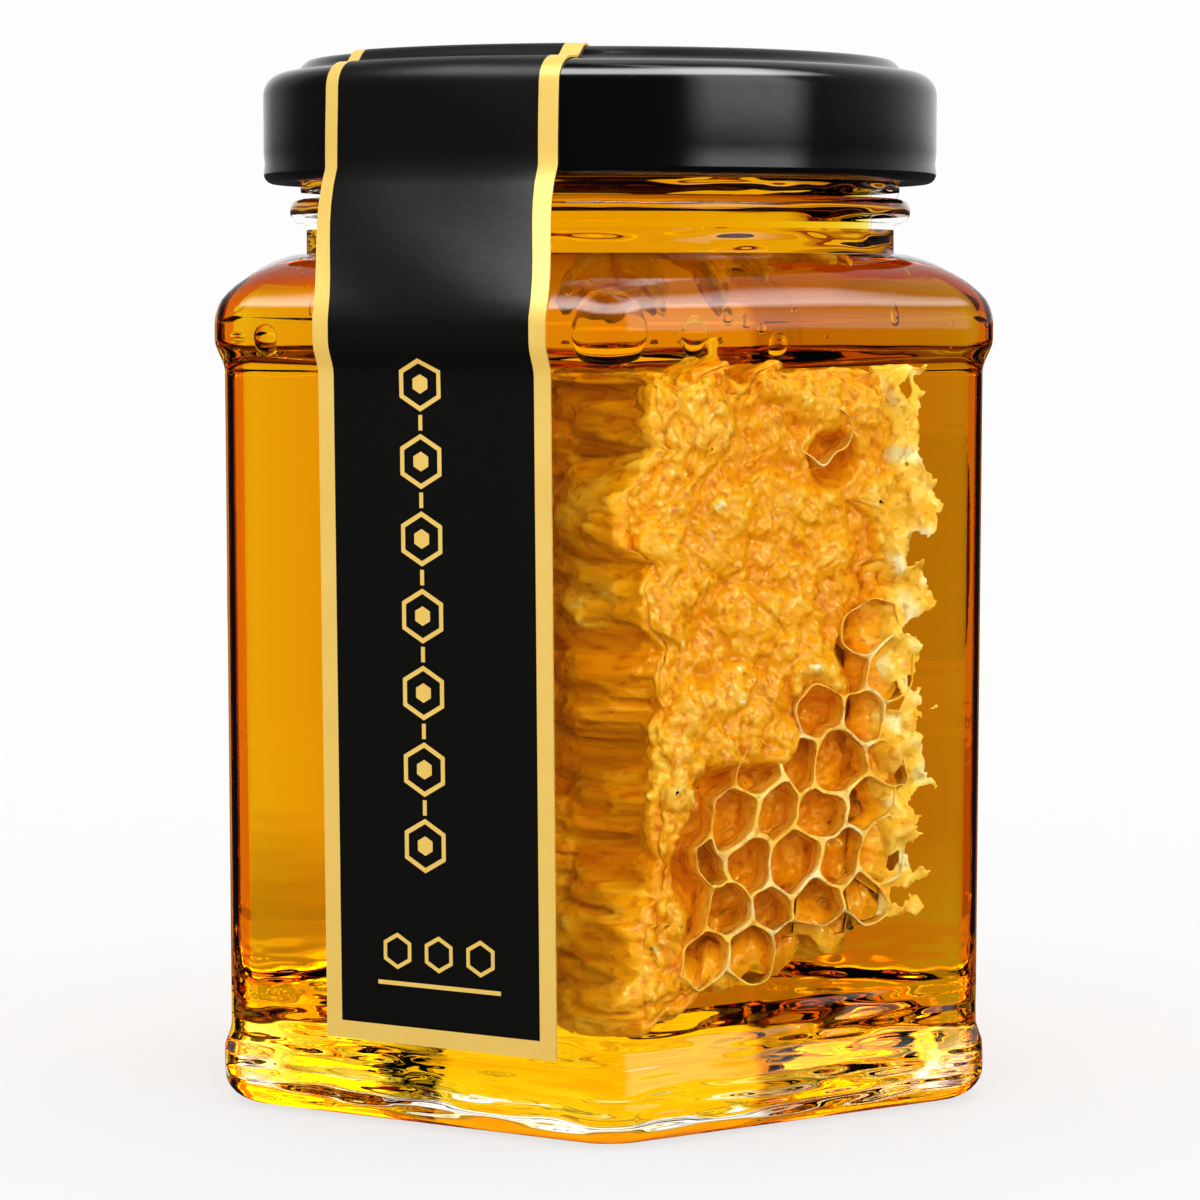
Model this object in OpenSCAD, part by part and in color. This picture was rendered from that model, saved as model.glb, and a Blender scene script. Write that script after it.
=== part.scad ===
// Hexagonal glass jar of chunk honey with a twist-off lid and a paper seal strip.
// One corner of the hexagon faces -Y. The origin is the centre of the base, on the table.

/* [Glass body] */
// Width of the body across its flats
across_flats = 71; // [66:0.1:86]
// Height of the glass, from the table to the rim
jar_height = 97; // [80:0.1:120]
// Glass thickness of the body walls
wall = 3; // [2:0.1:4]
// Glass thickness under the honey
base_thickness = 3.2; // [2.4:0.1:8]
// Radius of the vertical corners
corner_radius = 3.5; // [2:0.1:6]
// Amount by which the flats lean in at the foot
draft = 0.14; // [0:0.01:0.4]
// Projection of the foot band beyond the flats
foot_projection = 0.64; // [0.3:0.01:1.2]
// Height of the foot band
foot_height = 5.2; // [4.5:0.1:8]
// Radius of the heel, where the base turns up into the foot band
heel_radius = 3; // [2:0.1:4]
// Depth of the recess in the underside
base_recess = 0.8; // [0.4:0.1:1.5]
// Width of the flat ring that the jar stands on
bearing_width = 5; // [3:0.5:8]

/* [Shoulder and neck] */
// Projection of the shoulder band beyond the flats
band_projection = 0.9; // [0.4:0.05:1.2]
// Height of the shoulder band where it projects fully
band_height = 1.5; // [1:0.1:3]
// Height of the domed shoulder above the band
shoulder_height = 6.5; // [5:0.1:9]
// Outer radius of the neck under the bead
neck_radius = 28.7; // [23:0.1:31]
// Glass thickness of the neck
neck_wall = 2.3; // [1.6:0.1:3]
// Height of the neck from the shoulder to the rim
neck_height = 17; // [15:0.5:22]
// Distance from the rim down to the middle of the bead
bead_drop = 12.9; // [12:0.1:13.5]
// How much wider the neck is above the bead than under it
neck_step = 0.55; // [0.2:0.05:0.8]
// Projection of the bead beyond the neck
bead_projection = 1.6; // [0.8:0.1:2]
// Height of the bead
bead_height = 2.4; // [1.6:0.1:3]
// Projection of the threads beyond the upper neck
thread_projection = 1; // [0.6:0.1:1.1]
// Number of thread starts, and of lugs in the lid
thread_starts = 4; // [3:1:6]

/* [Lid] */
// Radial room between the upper neck and the inside of the skirt
lid_room = 3.15; // [2.6:0.05:4]
// Distance from the rim down to the bottom of the skirt
skirt_drop = 10.25; // [9:0.05:11]
// Thickness of the sheet metal
sheet = 0.4; // [0.3:0.05:0.8]
// Radius of the edge between the skirt and the top
lid_edge_radius = 2.2; // [1:0.1:3]
// Radius of the rolled bottom edge
curl_radius = 1; // [0.7:0.05:1.2]
// Height of the stacking ring above the edge of the top
ring_rise = 1.2; // [0.6:0.1:2]
// Distance from the outside of the skirt in to the crest of the stacking ring
ring_inset = 4.5; // [4:0.1:6]
// Half width of the stacking ring
ring_half_width = 1.6; // [1:0.1:2]
// Depth of the middle of the top below the crest of the ring
panel_recess = 0.7; // [0.2:0.1:1]

/* [Honey and comb] */
// Empty height left between the honey and the rim
headspace = 3.4; // [2:0.1:8]
// Thickness of the slab of comb
comb_thickness = 17; // [8:1:20]
// Honey left between the comb and the glass
comb_margin = 1.7; // [1:0.1:3]
// Height of the lowest corner of the comb above the glass under it
comb_rise = 5.8; // [2:0.1:12]
// Slant of the foot of the comb: how much higher it is on the right
comb_slant = 9; // [0:0.5:12]
// Spacing of the cells
cell_pitch = 5.4; // [4.8:0.1:6.5]
// Thickness of the walls between open cells
cell_wall = 0.6; // [0.4:0.1:1]
// Depth of the open cells
cell_depth = 6; // [2:0.5:8]

/* [Paper] */
// Width of the seal strip
strip_width = 24.3; // [15:0.1:30]
// Thickness of the paper
paper = 0.2; // [0.15:0.01:0.4]
// Clearance between the paper and what it is stuck to
paper_gap = 0.08; // [0.06:0.01:0.15]
// How far the foot of the strip lies off the middle of its face
strip_offset = 2.8; // [0:0.1:4]
// How far the strip lies off the middle where it crosses the lid
strip_offset_lid = 0.3; // [0:0.1:2]
// Distance from the middle of the lid to the end of the strip on the top
strip_tail = 14; // [5:0.5:20]
// Diameter of the round label on the left side
label_diameter = 27; // [15:0.5:30]
// Height of the middle of the round label, from the foot band
label_rise = 42; // [25:0.5:45]

/* [Hidden] */

CORNER_STEPS = 8;       // points round each corner of a ring of the glass
FACE_LEFT_FRONT = -120; // directions of the faces that carry a piece
FACE_RIGHT_FRONT = -60;
FACE_LEFT_SIDE = 180;

body_apothem = across_flats / 2;
flat_foot = body_apothem - draft;
foot_apothem = flat_foot + foot_projection;
band_apothem = body_apothem + band_projection;
foot_blend = 2.3;       // height over which the foot band runs out into the flats
band_blend = 3;         // height over which the flats run out into the shoulder band

neck_foot = jar_height - neck_height;
band_top = neck_foot - shoulder_height;
band_bottom = band_top - band_height;
flat_top = band_bottom - band_blend;
flat_bottom = foot_height + foot_blend;
bore_radius = neck_radius - neck_wall;
upper_neck_radius = neck_radius + neck_step;
bead_root_radius = neck_radius + neck_step / 2;
rim_edge = 0.9;         // radius of the rounded edges of the rim
bead_middle = jar_height - bead_drop;
skirt_bottom = jar_height - skirt_drop;
lid_radius = upper_neck_radius + lid_room + sheet;
lid_top = jar_height + sheet;
curl_top = skirt_bottom + curl_radius;

function mix(a, b, t) = a + (b - a) * t;
function smooth(t) = (1 - cos(180 * t)) / 2;

// Bow of the domed shoulder, 0 at the band to 1 at the neck, at the share t of its height.
DOME_POWER = 1.8;
function dome(t) = 1 - pow(1 - pow(t, DOME_POWER), 1 / DOME_POWER);

// ---- rings of the glass: [height, distance of the flats, corner radius] ----

function flat_ring(z, apothem, corner = corner_radius) = [z, apothem, corner];
function round_ring(z, radius) = [z, radius, radius];

// Each thread is a ridge that climbs round the neck and fades out at both ends.
THREAD_ARC = 76;        // degrees that one ridge runs
THREAD_START = -52;     // direction of the low end of the first ridge
THREAD_RISE = 3.6;      // how far one ridge climbs
THREAD_HALF = 1;        // half the height of a ridge
thread_foot = skirt_bottom + 0.3;
THREAD_FADE = 8;        // degrees over which each end fades
function thread_run(angle) = (angle - THREAD_START + 720) % (360 / thread_starts);
function thread_crest(angle) = thread_foot + THREAD_RISE * thread_run(angle) / THREAD_ARC;
function thread_taper(angle) =
    max(0, min(1, thread_run(angle) / THREAD_FADE, (THREAD_ARC - thread_run(angle)) / THREAD_FADE));
function thread_push(angle, z) =
    let (off = (z - thread_crest(angle)) / THREAD_HALF)
    abs(off) < 1 ? thread_projection * thread_taper(angle) * (1 - off * off) : 0;

function ring_points(ring, push = 0) = [
    for (corner = [0:5], step = [0:CORNER_STEPS - 1])
        let (towards = 30 + 60 * corner,
             angle = towards + mix(-30, 30, (step + 0.5) / CORNER_STEPS),
             centre = (ring[1] - ring[2]) / cos(30),
             radius = ring[2] + (push > 0 ? thread_push(angle, ring[0]) : 0))
        [centre * cos(towards) + radius * cos(angle), centre * sin(towards) + radius * sin(angle), ring[0]]
];

// A closed solid through rings of points. The first and the last ring are closed with one flat
// face each, or, on a thin ribbon, with a row of faces between its two sides.
module skin(rings, ribbon = false) {
    count = len(rings[0]);
    last = len(rings) - 1;
    sides = [
        for (ring = [0:last - 1], i = [0:count - 1])
            let (j = (i + 1) % count, low = ring * count, high = low + count)
            each [[low + i, high + i, high + j], [low + i, high + j, low + j]]
    ];
    first_cap = ribbon
        ? [for (i = [0:count / 2 - 2]) [i, i + 1, count - 2 - i, count - 1 - i]]
        : [[for (i = [0:count - 1]) i]];
    last_cap = [for (face = first_cap) [for (i = [len(face) - 1:-1:0]) last * count + face[i]]];
    polyhedron(
        points = [for (ring = rings) each ring],
        faces = concat(first_cap, last_cap, sides),
        convexity = 6
    );
}

HEEL_STEPS = 4;
underside_rings = [
    flat_ring(base_recess, foot_apothem - heel_radius - bearing_width - 2, corner_radius + 1),
    flat_ring(0, foot_apothem - heel_radius - bearing_width, corner_radius + 1)
];
heel_rings = [
    for (step = [0:HEEL_STEPS])
        let (turn = 90 * step / HEEL_STEPS)
        flat_ring(heel_radius * (1 - cos(turn)), foot_apothem - heel_radius * (1 - sin(turn)))
];
foot_rings = [
    flat_ring(foot_height - 0.8, foot_apothem),
    flat_ring(mix(foot_height, flat_bottom, 0.5), mix(foot_apothem, flat_foot, 0.6)),
    flat_ring(flat_bottom, flat_foot)
];
BAND_STEPS = 3;
band_rings = [
    for (step = [0:BAND_STEPS])
        let (t = step / BAND_STEPS)
        flat_ring(mix(flat_top, band_bottom, t), mix(body_apothem, band_apothem, smooth(t)))
];
SHOULDER_STEPS = 8;
shoulder_rings = [
    for (step = [0:SHOULDER_STEPS])
        let (t = sin(90 * step / SHOULDER_STEPS), bow = dome(t))
        [
            mix(band_top, neck_foot, t),
            mix(band_apothem, neck_radius, bow),
            mix(corner_radius, neck_radius, bow)
        ]
];
bead_rings = [
    for (turn = [0:45:180])
        round_ring(
            bead_middle - bead_height / 2 * cos(turn),
            mix(bead_root_radius, neck_radius + bead_projection, sin(turn))
        )
];
THREAD_RINGS = 8;
thread_top = thread_foot + THREAD_RISE + THREAD_HALF;
neck_rings = [
    for (step = [0:THREAD_RINGS])
        round_ring(mix(thread_foot - THREAD_HALF, thread_top, step / THREAD_RINGS), upper_neck_radius)
];
rim_rings = [
    round_ring(jar_height - rim_edge, upper_neck_radius),
    round_ring(jar_height - rim_edge * 0.3, upper_neck_radius - rim_edge * 0.3),
    round_ring(jar_height, upper_neck_radius - rim_edge),
    round_ring(jar_height, bore_radius + rim_edge * 0.7),
    round_ring(jar_height - rim_edge, bore_radius)
];

// The inside of the glass from the floor up to the neck, as the honey fills it.
FLOOR_STEPS = 3;
INNER_STEPS = 7;        // steps up the inside of the shoulder
FLOOR_RADIUS = 1.6;     // radius between the floor and the walls inside
inner_corner = max(1, corner_radius - 0.5);
inner_apothem = body_apothem - wall;
inner_shoulder_foot = band_bottom - 1.5;
inner_shoulder_top = neck_foot - 0.6;
cavity_rings = [
    for (step = [0:FLOOR_STEPS])
        let (turn = 90 * step / FLOOR_STEPS)
        flat_ring(
            base_thickness + FLOOR_RADIUS * (1 - cos(turn)),
            flat_foot - wall - FLOOR_RADIUS * (1 - sin(turn)),
            inner_corner
        ),
    for (step = [0:INNER_STEPS])
        let (t = sin(90 * step / INNER_STEPS), bow = dome(t))
        [
            mix(inner_shoulder_foot, inner_shoulder_top, t),
            mix(inner_apothem, bore_radius, bow),
            mix(inner_corner, bore_radius, bow)
        ]
];

module glass_jar() {
    outside = concat(underside_rings, heel_rings, foot_rings, band_rings, shoulder_rings,
        bead_rings, neck_rings, rim_rings);
    inside = [for (i = [len(cavity_rings) - 1:-1:0]) cavity_rings[i]];
    color([0.86, 0.9, 0.88, 0.35])
        skin([for (ring = outside) ring_points(ring, 1), for (ring = inside) ring_points(ring)]);
}

// ---- honeycomb: an upright slab of comb behind the right front face ----

comb_face = inner_apothem - comb_margin;
comb_right = inner_apothem * tan(30) - comb_margin - 1;
comb_left = -comb_right - 1;
comb_bottom = base_thickness + comb_rise;
comb_top = inner_shoulder_foot;
RAGGED = 0.7;           // depth of the waves along the cut edges
EDGE_POINTS = 12;       // points along each edge of the slab
function ragged(step, seed) = RAGGED * sin(step * 137 + seed) * sin(180 * step / EDGE_POINTS);

function comb_outline() = [
    for (s = [0:EDGE_POINTS - 1]) [mix(comb_left, comb_right, s / EDGE_POINTS),
        comb_bottom + comb_slant * s / EDGE_POINTS + ragged(s, 20)],
    for (s = [0:EDGE_POINTS - 1]) [comb_right + ragged(s, 70),
        mix(comb_bottom + comb_slant, comb_top, s / EDGE_POINTS)],
    for (s = [0:EDGE_POINTS - 1]) [mix(comb_right, comb_left, s / EDGE_POINTS), comb_top + ragged(s, 120)],
    for (s = [0:EDGE_POINTS - 1]) [comb_left + ragged(s, 200), mix(comb_top, comb_bottom, s / EDGE_POINTS)]
];

// The open cells lie in the lower half of the slab; the wax caps hide the others.
CELL_COLUMNS = 5;
CELL_ROWS = 5;
CELL_INSET = 0.8;       // distance of the first cells from the slab's edges, in cells
module open_cells() {
    for (column = [0:CELL_COLUMNS - 1], row = [0:CELL_ROWS - 1])
        translate([
            comb_right - cell_pitch * (CELL_INSET + column + (row % 2) / 2),
            comb_bottom + comb_slant + cell_pitch * (CELL_INSET + row * cos(30)),
            -cell_depth
        ])
            rotate([0, 0, 30])
                cylinder(h = 2 * cell_depth, d = (cell_pitch - cell_wall) / cos(30), $fn = 6);
}

// Turns a shape drawn across (x) and up (y) a face, with z outwards, to stand in that face.
module on_face(direction, distance) {
    rotate([0, 0, direction + 90]) translate([0, -distance, 0]) rotate([90, 0, 0]) children();
}

module comb_slab() {
    on_face(FACE_RIGHT_FRONT, comb_face)
        difference() {
            translate([0, 0, -comb_thickness]) linear_extrude(comb_thickness) polygon(comb_outline());
            open_cells();
        }
}

module honeycomb() {
    color([0.93, 0.76, 0.36]) comb_slab();
}

module honey() {
    fill_rings = concat(cavity_rings, [round_ring(jar_height - headspace, bore_radius)]);
    color([0.95, 0.62, 0.08, 0.8])
        difference() {
            skin([for (ring = fill_rings) ring_points(ring)]);
            comb_slab();
        }
}

// ---- twist-off lid ----

LUG_ARC = 14;           // degrees that one lug spans
LUG_ROOM = 0.6;         // room between a lug and the neck
LUG_RISE = 1.3;         // height of a lug
LUG_LIFT = 0.1;         // height of a lug above the bottom of the skirt
lug_reach = lid_room - LUG_ROOM;

function arc(cx, cy, radius, from, to, steps) = [
    for (s = [0:steps]) let (a = mix(from, to, s / steps)) [cx + radius * cos(a), cy + radius * sin(a)]
];

EDGE_STEPS = 6;         // steps round the edge of the top
RING_STEPS = 3;         // steps up and down each side of the stacking ring
edge_middle = [lid_radius - lid_edge_radius, lid_top - lid_edge_radius];
ring_crest = lid_radius - ring_inset;
crest_top = lid_top + ring_rise;
panel_top = crest_top - panel_recess;

// Outside of the lid in section, from the rolled edge up to the middle of the top.
lid_outside = concat(
    arc(edge_middle[0], edge_middle[1], lid_edge_radius, 0, 90, EDGE_STEPS),
    [
        for (s = [0:RING_STEPS])
            let (t = s / RING_STEPS)
            [ring_crest + ring_half_width * (1 - t), mix(lid_top, crest_top, smooth(t))]
    ],
    [
        for (s = [1:RING_STEPS])
            let (t = s / RING_STEPS)
            [ring_crest - ring_half_width * t, mix(crest_top, panel_top, smooth(t))]
    ],
    [[0, panel_top]]
);

LUG_PLACE = 0.78;       // where along its ridge each lug has hold, as a share of its run

module lug() {
    rotate([0, 0, -LUG_ARC / 2])
        rotate_extrude(angle = LUG_ARC, $fn = 90)
            translate([lid_radius - sheet - lug_reach, skirt_bottom + LUG_LIFT])
                square([lug_reach, LUG_RISE]);
}

module lid() {
    curl_middle = [lid_radius - curl_radius, curl_top];
    color([0.04, 0.04, 0.045]) {
        union() {
            rotate_extrude($fn = 96)
                union() {
                    polygon(concat(
                        [[lid_radius, curl_middle[1]]],
                        lid_outside,
                        [[0, jar_height], [edge_middle[0] - sheet, jar_height]],
                        arc(edge_middle[0], edge_middle[1], lid_edge_radius - sheet, 90, 0, EDGE_STEPS),
                        [[lid_radius - sheet, curl_middle[1]]]
                    ));
                    translate(curl_middle) circle(r = curl_radius, $fn = 24);
                }
            for (start = [0:thread_starts - 1])
                rotate([0, 0, THREAD_START + THREAD_ARC * LUG_PLACE + 360 / thread_starts * start]) lug();
        }
    }
}

// ---- paper ----

// Stations along the seal strip, from its foot up over the lid: [distance from the middle of the
// jar, height, outward share of the normal, upward share, 1 where it follows a round surface].
strip_foot = flat_bottom + 0.2;
strip_foot_apothem = mix(flat_foot, body_apothem, (strip_foot - flat_bottom) / (flat_top - flat_bottom));

// The strip follows the shoulder until the straight way up to the lid is the steeper one.
function slope(r0, z0, r1, z1) = (r1 - r0) / (z1 - z0);
strip_leaves = [
    for (i = [0:SHOULDER_STEPS - 1])
        let (here = shoulder_rings[i], next = shoulder_rings[i + 1])
        if (slope(here[1], here[0], next[1], next[0]) < slope(here[1], here[0], lid_radius, curl_top)) i
];

strip_stations = concat(
    [[strip_foot_apothem, strip_foot, 1, 0, 0]],
    [for (ring = band_rings) [ring[1], ring[0], 1, 0, 0]],
    [for (i = [0:strip_leaves[0]]) [shoulder_rings[i][1], shoulder_rings[i][0], 1, 0, 0]],
    [[lid_radius, curl_top, 1, 0, 1]],
    [
        for (turn = [0:30:90])
            [lid_radius - lid_edge_radius * (1 - cos(turn)), lid_top - lid_edge_radius * (1 - sin(turn)),
                cos(turn), sin(turn), 1]
    ],
    [
        [ring_crest + ring_half_width * 0.5, mix(lid_top, crest_top, 0.6), 0.4, 0.92, 1],
        [ring_crest, crest_top, 0, 1, 1],
        [ring_crest - ring_half_width, panel_top, 0, 1, 1],
        [-strip_tail, panel_top, 0, 1, 0]
    ]
);
STRIP_PARTS = 8;        // parts across the width

// The strip was stuck on a little aslant, so it drifts across its face from foot to shoulder.
STRIP_DRIFT = 0.5;
function strip_shift(z) = z > skirt_bottom
    ? strip_offset_lid
    : strip_offset - STRIP_DRIFT * (z - strip_foot) / (band_top - strip_foot);

function strip_point(station, across, lift) =
    let (
        r = station[0] + lift * station[2],
        z = station[1] + lift * station[3],
        v = strip_shift(station[1]) + across,
        u = station[4] > 0 ? sqrt(r * r - v * v) : r
    )
    [v, -u, z];

// One closed loop of points round the strip at a station: the glued side, then the face back.
function strip_across(part) = strip_width * (part / STRIP_PARTS - 0.5);
function strip_loop(station) = [
    for (part = [0:STRIP_PARTS]) strip_point(station, strip_across(part), paper_gap),
    for (part = [STRIP_PARTS:-1:0]) strip_point(station, strip_across(part), paper_gap + paper)
];

module seal_strip() {
    color([0.09, 0.09, 0.095])
        rotate([0, 0, FACE_LEFT_FRONT + 90])
            skin([for (station = strip_stations) strip_loop(station)], ribbon = true);
}

module side_label() {
    color([0.62, 0.58, 0.4])
        on_face(FACE_LEFT_SIDE, body_apothem + paper_gap)
            translate([0, foot_height + label_rise, 0])
                cylinder(d = label_diameter, h = paper, $fn = 96);
}

glass_jar();
lid();
honey();
honeycomb();
seal_strip();
side_label();
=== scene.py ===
"""Looks of a hexagonal glass jar of honey with a piece of comb, a twist-off lid and a seal strip."""
from __future__ import annotations

import logging
import math
import random
from dataclasses import dataclass, field
from enum import Enum

import bmesh
import bpy
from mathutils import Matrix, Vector, noise

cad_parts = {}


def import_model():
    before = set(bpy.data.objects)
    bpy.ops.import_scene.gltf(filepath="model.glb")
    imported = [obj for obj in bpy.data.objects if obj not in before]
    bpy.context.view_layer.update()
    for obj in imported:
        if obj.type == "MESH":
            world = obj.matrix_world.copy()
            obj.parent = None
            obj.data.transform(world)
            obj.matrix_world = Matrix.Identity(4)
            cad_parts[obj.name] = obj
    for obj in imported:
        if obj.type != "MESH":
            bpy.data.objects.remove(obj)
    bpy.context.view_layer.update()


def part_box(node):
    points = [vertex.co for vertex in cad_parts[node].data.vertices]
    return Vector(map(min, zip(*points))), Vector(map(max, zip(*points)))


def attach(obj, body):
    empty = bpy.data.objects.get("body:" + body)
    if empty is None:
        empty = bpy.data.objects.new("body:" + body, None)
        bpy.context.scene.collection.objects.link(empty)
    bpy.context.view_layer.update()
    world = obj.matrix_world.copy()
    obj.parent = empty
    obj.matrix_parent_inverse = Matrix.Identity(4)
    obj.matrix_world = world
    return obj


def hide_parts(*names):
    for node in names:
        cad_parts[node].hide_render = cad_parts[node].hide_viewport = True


LOG = logging.getLogger("honey_jar")
MM = 0.001
COS30 = math.cos(math.radians(30))
BODY = "root"

Colour = tuple[float, float, float]
Point = tuple[float, float, float]


def mix(low: float, high: float, share: float) -> float:
    """Return the value at a share of the way from low to high."""
    return low + (high - low) * share


def smooth(share: float) -> float:
    """Return an S-shaped rise from 0 to 1 as the share goes from 0 to 1."""
    share = min(1.0, max(0.0, share))
    return share * share * (3 - 2 * share)


class JarFace(Enum):
    """The flat faces of the jar that carry a piece, by the direction in degrees that they face."""

    LEFT_FRONT = -120
    RIGHT_FRONT = -60
    LEFT_SIDE = 180

    def outward(self) -> Vector:
        """Return the unit vector out of the face."""
        return Vector((math.cos(math.radians(self.value)), math.sin(math.radians(self.value)), 0))

    def across(self) -> Vector:
        """Return the unit vector to the right along the face, seen from outside."""
        return Vector((-self.outward().y, self.outward().x, 0))

    def place(self, across: float, height: float, distance: float) -> Vector:
        """Return the point at a place on the face.

        Args:
            across: distance to the right of the middle of the face.
            height: height above the table.
            distance: distance from the middle of the jar.

        Returns:
            The point in the jar's own frame.
        """
        return self.across() * across + self.outward() * distance + Vector((0, 0, height))


# ---------------------------------------------------------------- modelling bench


class Bench:
    """Small modelling moves that every sub-assembly uses."""

    @staticmethod
    def clear() -> None:
        """Leave edit mode and select nothing."""
        if bpy.context.object and bpy.context.object.mode != "OBJECT":
            bpy.ops.object.mode_set(mode="OBJECT")
        bpy.ops.object.select_all(action="DESELECT")

    @staticmethod
    def pick(piece: bpy.types.Object) -> None:
        """Make one piece the only selected and the active one."""
        Bench.clear()
        piece.select_set(True)
        bpy.context.view_layer.objects.active = piece

    @staticmethod
    def edit(piece: bpy.types.Object) -> bmesh.types.BMesh:
        """Enter edit mode on a piece and return its edit mesh."""
        Bench.pick(piece)
        bpy.ops.object.mode_set(mode="EDIT")
        return bmesh.from_edit_mesh(piece.data)

    @staticmethod
    def join(name: str, pieces: list[bpy.types.Object]) -> bpy.types.Object:
        """Join pieces into the first of them and give it a name."""
        Bench.pick(pieces[0])
        for piece in pieces:
            piece.select_set(True)
        if len(pieces) > 1:
            bpy.ops.object.join()
        pieces[0].name = name
        pieces[0].data.name = name
        return pieces[0]

    @staticmethod
    def settle(piece: bpy.types.Object) -> None:
        """Put a piece's place, turn and size into its mesh."""
        Bench.pick(piece)
        bpy.ops.object.transform_apply(location=True, rotation=True, scale=True)

    @staticmethod
    def apply(piece: bpy.types.Object, kind: str, **values: object) -> None:
        """Add a modifier with the given values and apply it.

        Args:
            piece: the piece to change.
            kind: the type of the modifier.
            values: the modifier's own settings.
        """
        Bench.pick(piece)
        modifier = piece.modifiers.new(kind.title(), kind)
        for key, value in values.items():
            setattr(modifier, key, value)
        bpy.ops.object.modifier_apply(modifier=modifier.name)

    @staticmethod
    def face_outwards(piece: bpy.types.Object) -> None:
        """Merge doubled vertices and turn all faces outwards."""
        Bench.edit(piece)
        bpy.ops.mesh.select_all(action="SELECT")
        bpy.ops.mesh.remove_doubles(threshold=0.00001)
        bpy.ops.mesh.normals_make_consistent(inside=False)
        bpy.ops.object.mode_set(mode="OBJECT")

    @staticmethod
    def smooth_shade(piece: bpy.types.Object, angle: float = 40) -> None:
        """Shade a piece smooth, with edges over an angle in degrees kept sharp."""
        Bench.pick(piece)
        bpy.ops.object.shade_smooth_by_angle(angle=math.radians(angle))

    @staticmethod
    def level_normals(piece: bpy.types.Object) -> None:
        """Keep flat faces flat in the shading of a smooth piece."""
        Bench.apply(piece, "WEIGHTED_NORMAL", mode="FACE_AREA", weight=90, keep_sharp=True)


@dataclass(frozen=True)
class Ring:
    """One ring of the glass: a hexagon with rounded corners, or a circle where corner = apothem.

    Attributes:
        height: height above the table.
        apothem: distance of the flats from the middle.
        corner: radius of the corners.
    """

    height: float
    apothem: float
    corner: float

    def corner_share(self) -> float:
        """Return how much further out the corners are than the flats, as a ratio."""
        return ((self.apothem - self.corner) / COS30 + self.corner) / self.apothem

    def grown(self, distance: float) -> Ring:
        """Return the ring with its outline moved outwards by a distance."""
        return Ring(self.height, self.apothem + distance, self.corner + distance)


class RingStack:
    """A wall that is drawn up from one rounded hexagon, ring by ring."""

    EDGE_CUTS = 11
    CORNER_SEGMENTS = 6

    def __init__(self, name: str, first: Ring) -> None:
        """Start the wall with a filled ring.

        Args:
            name: name of the new piece.
            first: the lowest ring, closed with a face.
        """
        Bench.clear()
        radius = first.apothem / COS30
        bpy.ops.mesh.primitive_circle_add(vertices=6, radius=radius, fill_type="NGON", enter_editmode=True)
        self.piece = bpy.context.object
        self.piece.name = name
        bpy.ops.mesh.select_all(action="SELECT")
        bpy.ops.mesh.subdivide(number_cuts=self.EDGE_CUTS)
        bpy.ops.mesh.select_mode(type="VERT")
        mesh = bmesh.from_edit_mesh(self.piece.data)
        for vertex in mesh.verts:
            vertex.select = abs(vertex.co.length - radius) < 0.01 * MM
        mesh.select_flush_mode()
        bmesh.update_edit_mesh(self.piece.data)
        cut = first.corner * math.tan(math.radians(30))
        bpy.ops.mesh.bevel(offset=cut, segments=self.CORNER_SEGMENTS, affect="VERTICES")
        bpy.ops.mesh.select_all(action="SELECT")
        bpy.ops.transform.translate(value=(0, 0, first.height))
        self.level = first.height

    def reach(self) -> tuple[float, float, float]:
        """Return the least, the mean and the greatest radius of the selected ring."""
        mesh = bmesh.from_edit_mesh(self.piece.data)
        radii = [vertex.co.xy.length for vertex in mesh.verts if vertex.select]
        return min(radii), sum(radii) / len(radii), max(radii)

    def draw_to(self, ring: Ring) -> None:
        """Draw the wall on to the next ring."""
        rise = (0, 0, ring.height - self.level)
        bpy.ops.mesh.extrude_region_move(TRANSFORM_OT_translate={"value": rise})
        least, mean, greatest = self.reach()
        share = ring.corner_share()
        excess = greatest - share * least
        if greatest - least > 0.001 * MM and excess > 0:
            rounding = min(1.0, excess / (excess + (share - 1) * mean))
            bpy.ops.transform.tosphere(value=rounding)
            least = self.reach()[0]
        factor = ring.apothem / least
        bpy.ops.transform.resize(value=(factor, factor, 1), center_override=(0, 0, 0))
        self.level = ring.height

    def finish(self, open_top: bool) -> bpy.types.Object:
        """Leave edit mode and return the piece.

        Args:
            open_top: whether the last ring stays open.

        Returns:
            The finished wall.
        """
        if open_top:
            bpy.ops.mesh.select_mode(type="FACE")
            bpy.ops.mesh.delete(type="ONLY_FACE")
            bpy.ops.mesh.select_mode(type="VERT")
        bpy.ops.object.mode_set(mode="OBJECT")
        return self.piece


def turned(name: str, outline: list[tuple[float, float]], sides: int = 128) -> bpy.types.Object:
    """Turn a section about the jar's axis into a closed piece.

    Args:
        name: name of the new piece.
        outline: points of the section as (radius, height); the first and the last ring are closed.
        sides: number of vertices round the axis.

    Returns:
        The turned piece.
    """
    Bench.clear()
    radius, level = outline[0]
    bpy.ops.mesh.primitive_circle_add(vertices=sides, radius=radius, fill_type="NGON", enter_editmode=True)
    piece = bpy.context.object
    bpy.ops.mesh.select_all(action="SELECT")
    bpy.ops.transform.translate(value=(0, 0, level))
    for next_radius, height in outline[1:]:
        bpy.ops.mesh.extrude_region_move(TRANSFORM_OT_translate={"value": (0, 0, height - level)})
        factor = next_radius / radius
        bpy.ops.transform.resize(value=(factor, factor, 1), center_override=(0, 0, 0))
        radius, level = next_radius, height
    Bench.clear()
    piece.name = name
    Bench.face_outwards(piece)
    return piece


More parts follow.
